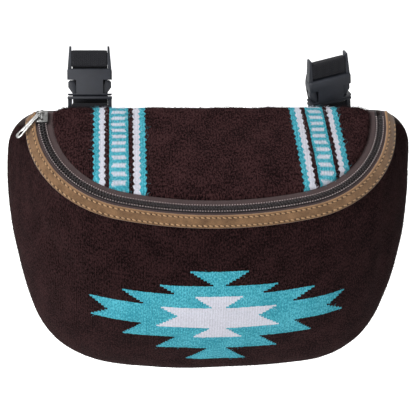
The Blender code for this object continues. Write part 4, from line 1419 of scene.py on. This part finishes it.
def make_world(scene, level):
    """A white room that lights the pouch by its level and looks white itself."""
    scene.world = bpy.data.worlds.new("studio")
    scene.world.use_nodes = True
    sky = Tree(scene.world.node_tree)
    ray = sky.node("ShaderNodeLightPath")
    seen = ray["Is Camera Ray"].or_more(ray["Is Transmission Ray"]).or_more(ray["Is Glossy Ray"])
    background = sky.tree.nodes["Background"]
    sky.feed(background.inputs["Color"], (1.0, 1.0, 1.0))
    sky.feed(background.inputs["Strength"], seen * (1.0 - level) + level)


def make_lamps(scene):
    for name, place, size, power in (
        ("key_lamp", (-1.25, -0.85, 1.45), 0.7, 40.0),
        ("front_lamp", (-0.6, -1.5, 0.1), 1.0, 16.0),
        ("rim_lamp", (0.2, 1.4, 1.3), 1.0, 10.0),
    ):
        data = bpy.data.lights.new(name, "AREA")
        data.shape = "DISK"
        data.size = size
        data.energy = power
        lamp = bpy.data.objects.new(name, data)
        lamp.location = place
        lamp.rotation_euler = (Vector(LAMP_AIM) - Vector(place)).to_track_quat("-Z", "Y").to_euler()
        scene.collection.objects.link(lamp)


def make_camera(scene, settings):
    data = bpy.data.cameras.new("camera")
    data.sensor_width = 36.0
    data.lens = settings.focal
    data.shift_x = settings.shift / PICTURE
    data.clip_start = 0.05
    camera = bpy.data.objects.new("camera", data)
    camera.matrix_world = (
        Matrix.Translation(CAMERA_AIM)
        @ Matrix.Rotation(math.radians(settings.azimuth), 4, "Z")
        @ Matrix.Rotation(math.radians(90.0 - settings.elevation), 4, "X")
        @ Matrix.Rotation(math.radians(settings.roll), 4, "Z")
        @ Matrix.Translation((0.0, 0.0, settings.distance))
    )
    scene.collection.objects.link(camera)
    scene.camera = camera


class POUCH_OT_stage(bpy.types.Operator):
    """Sets the floor, the studio light and the camera"""

    bl_idname = "pouch.stage"
    bl_label = "Stage"

    def execute(self, context):
        scene = context.scene
        scene.view_settings.view_transform = "Standard"
        make_floor(scene.pouch_stage.floor)
        make_world(scene, scene.pouch_stage.room_light)
        make_lamps(scene)
        make_camera(scene, scene.pouch_stage)
        return {"FINISHED"}


class POUCH_PT_panel(bpy.types.Panel):
    """Lists the pouch's pieces and their settings"""

    bl_idname = "POUCH_PT_panel"
    bl_label = "Pommel pouch"
    bl_space_type = "VIEW_3D"
    bl_region_type = "UI"
    bl_category = "Pouch"

    def draw(self, context):
        for operator in OPERATORS:
            self.layout.operator(operator.bl_idname)
        for group in GROUPS:
            box = self.layout.box()
            box.label(text=group)
            settings = getattr(context.scene, group)
            for name in settings.bl_rna.properties.keys():
                if name not in ("rna_type", "name"):
                    box.prop(settings, name)


GROUPS = {
    "pouch_wool": WoolSettings,
    "pouch_zip": ZipSettings,
    "pouch_strap": StrapSettings,
    "pouch_stage": StageSettings,
}
OPERATORS = (
    POUCH_OT_stage,
    POUCH_OT_front,
    POUCH_OT_flap,
    POUCH_OT_back,
    POUCH_OT_zip,
    POUCH_OT_trim,
    POUCH_OT_pull,
    POUCH_OT_straps,
)


def register():
    for name, group in GROUPS.items():
        bpy.utils.register_class(group)
        setattr(bpy.types.Scene, name, PointerProperty(type=group))
    for cls in (*OPERATORS, POUCH_PT_panel):
        bpy.utils.register_class(cls)


def unregister():
    for cls in reversed((*OPERATORS, POUCH_PT_panel)):
        bpy.utils.unregister_class(cls)
    for name, group in reversed(GROUPS.items()):
        delattr(bpy.types.Scene, name)
        bpy.utils.unregister_class(group)


def main():
    register()
    for operator in OPERATORS:
        group, name = operator.bl_idname.split(".")
        getattr(getattr(bpy.ops, group), name)()


if __name__ == "__main__":
    main()
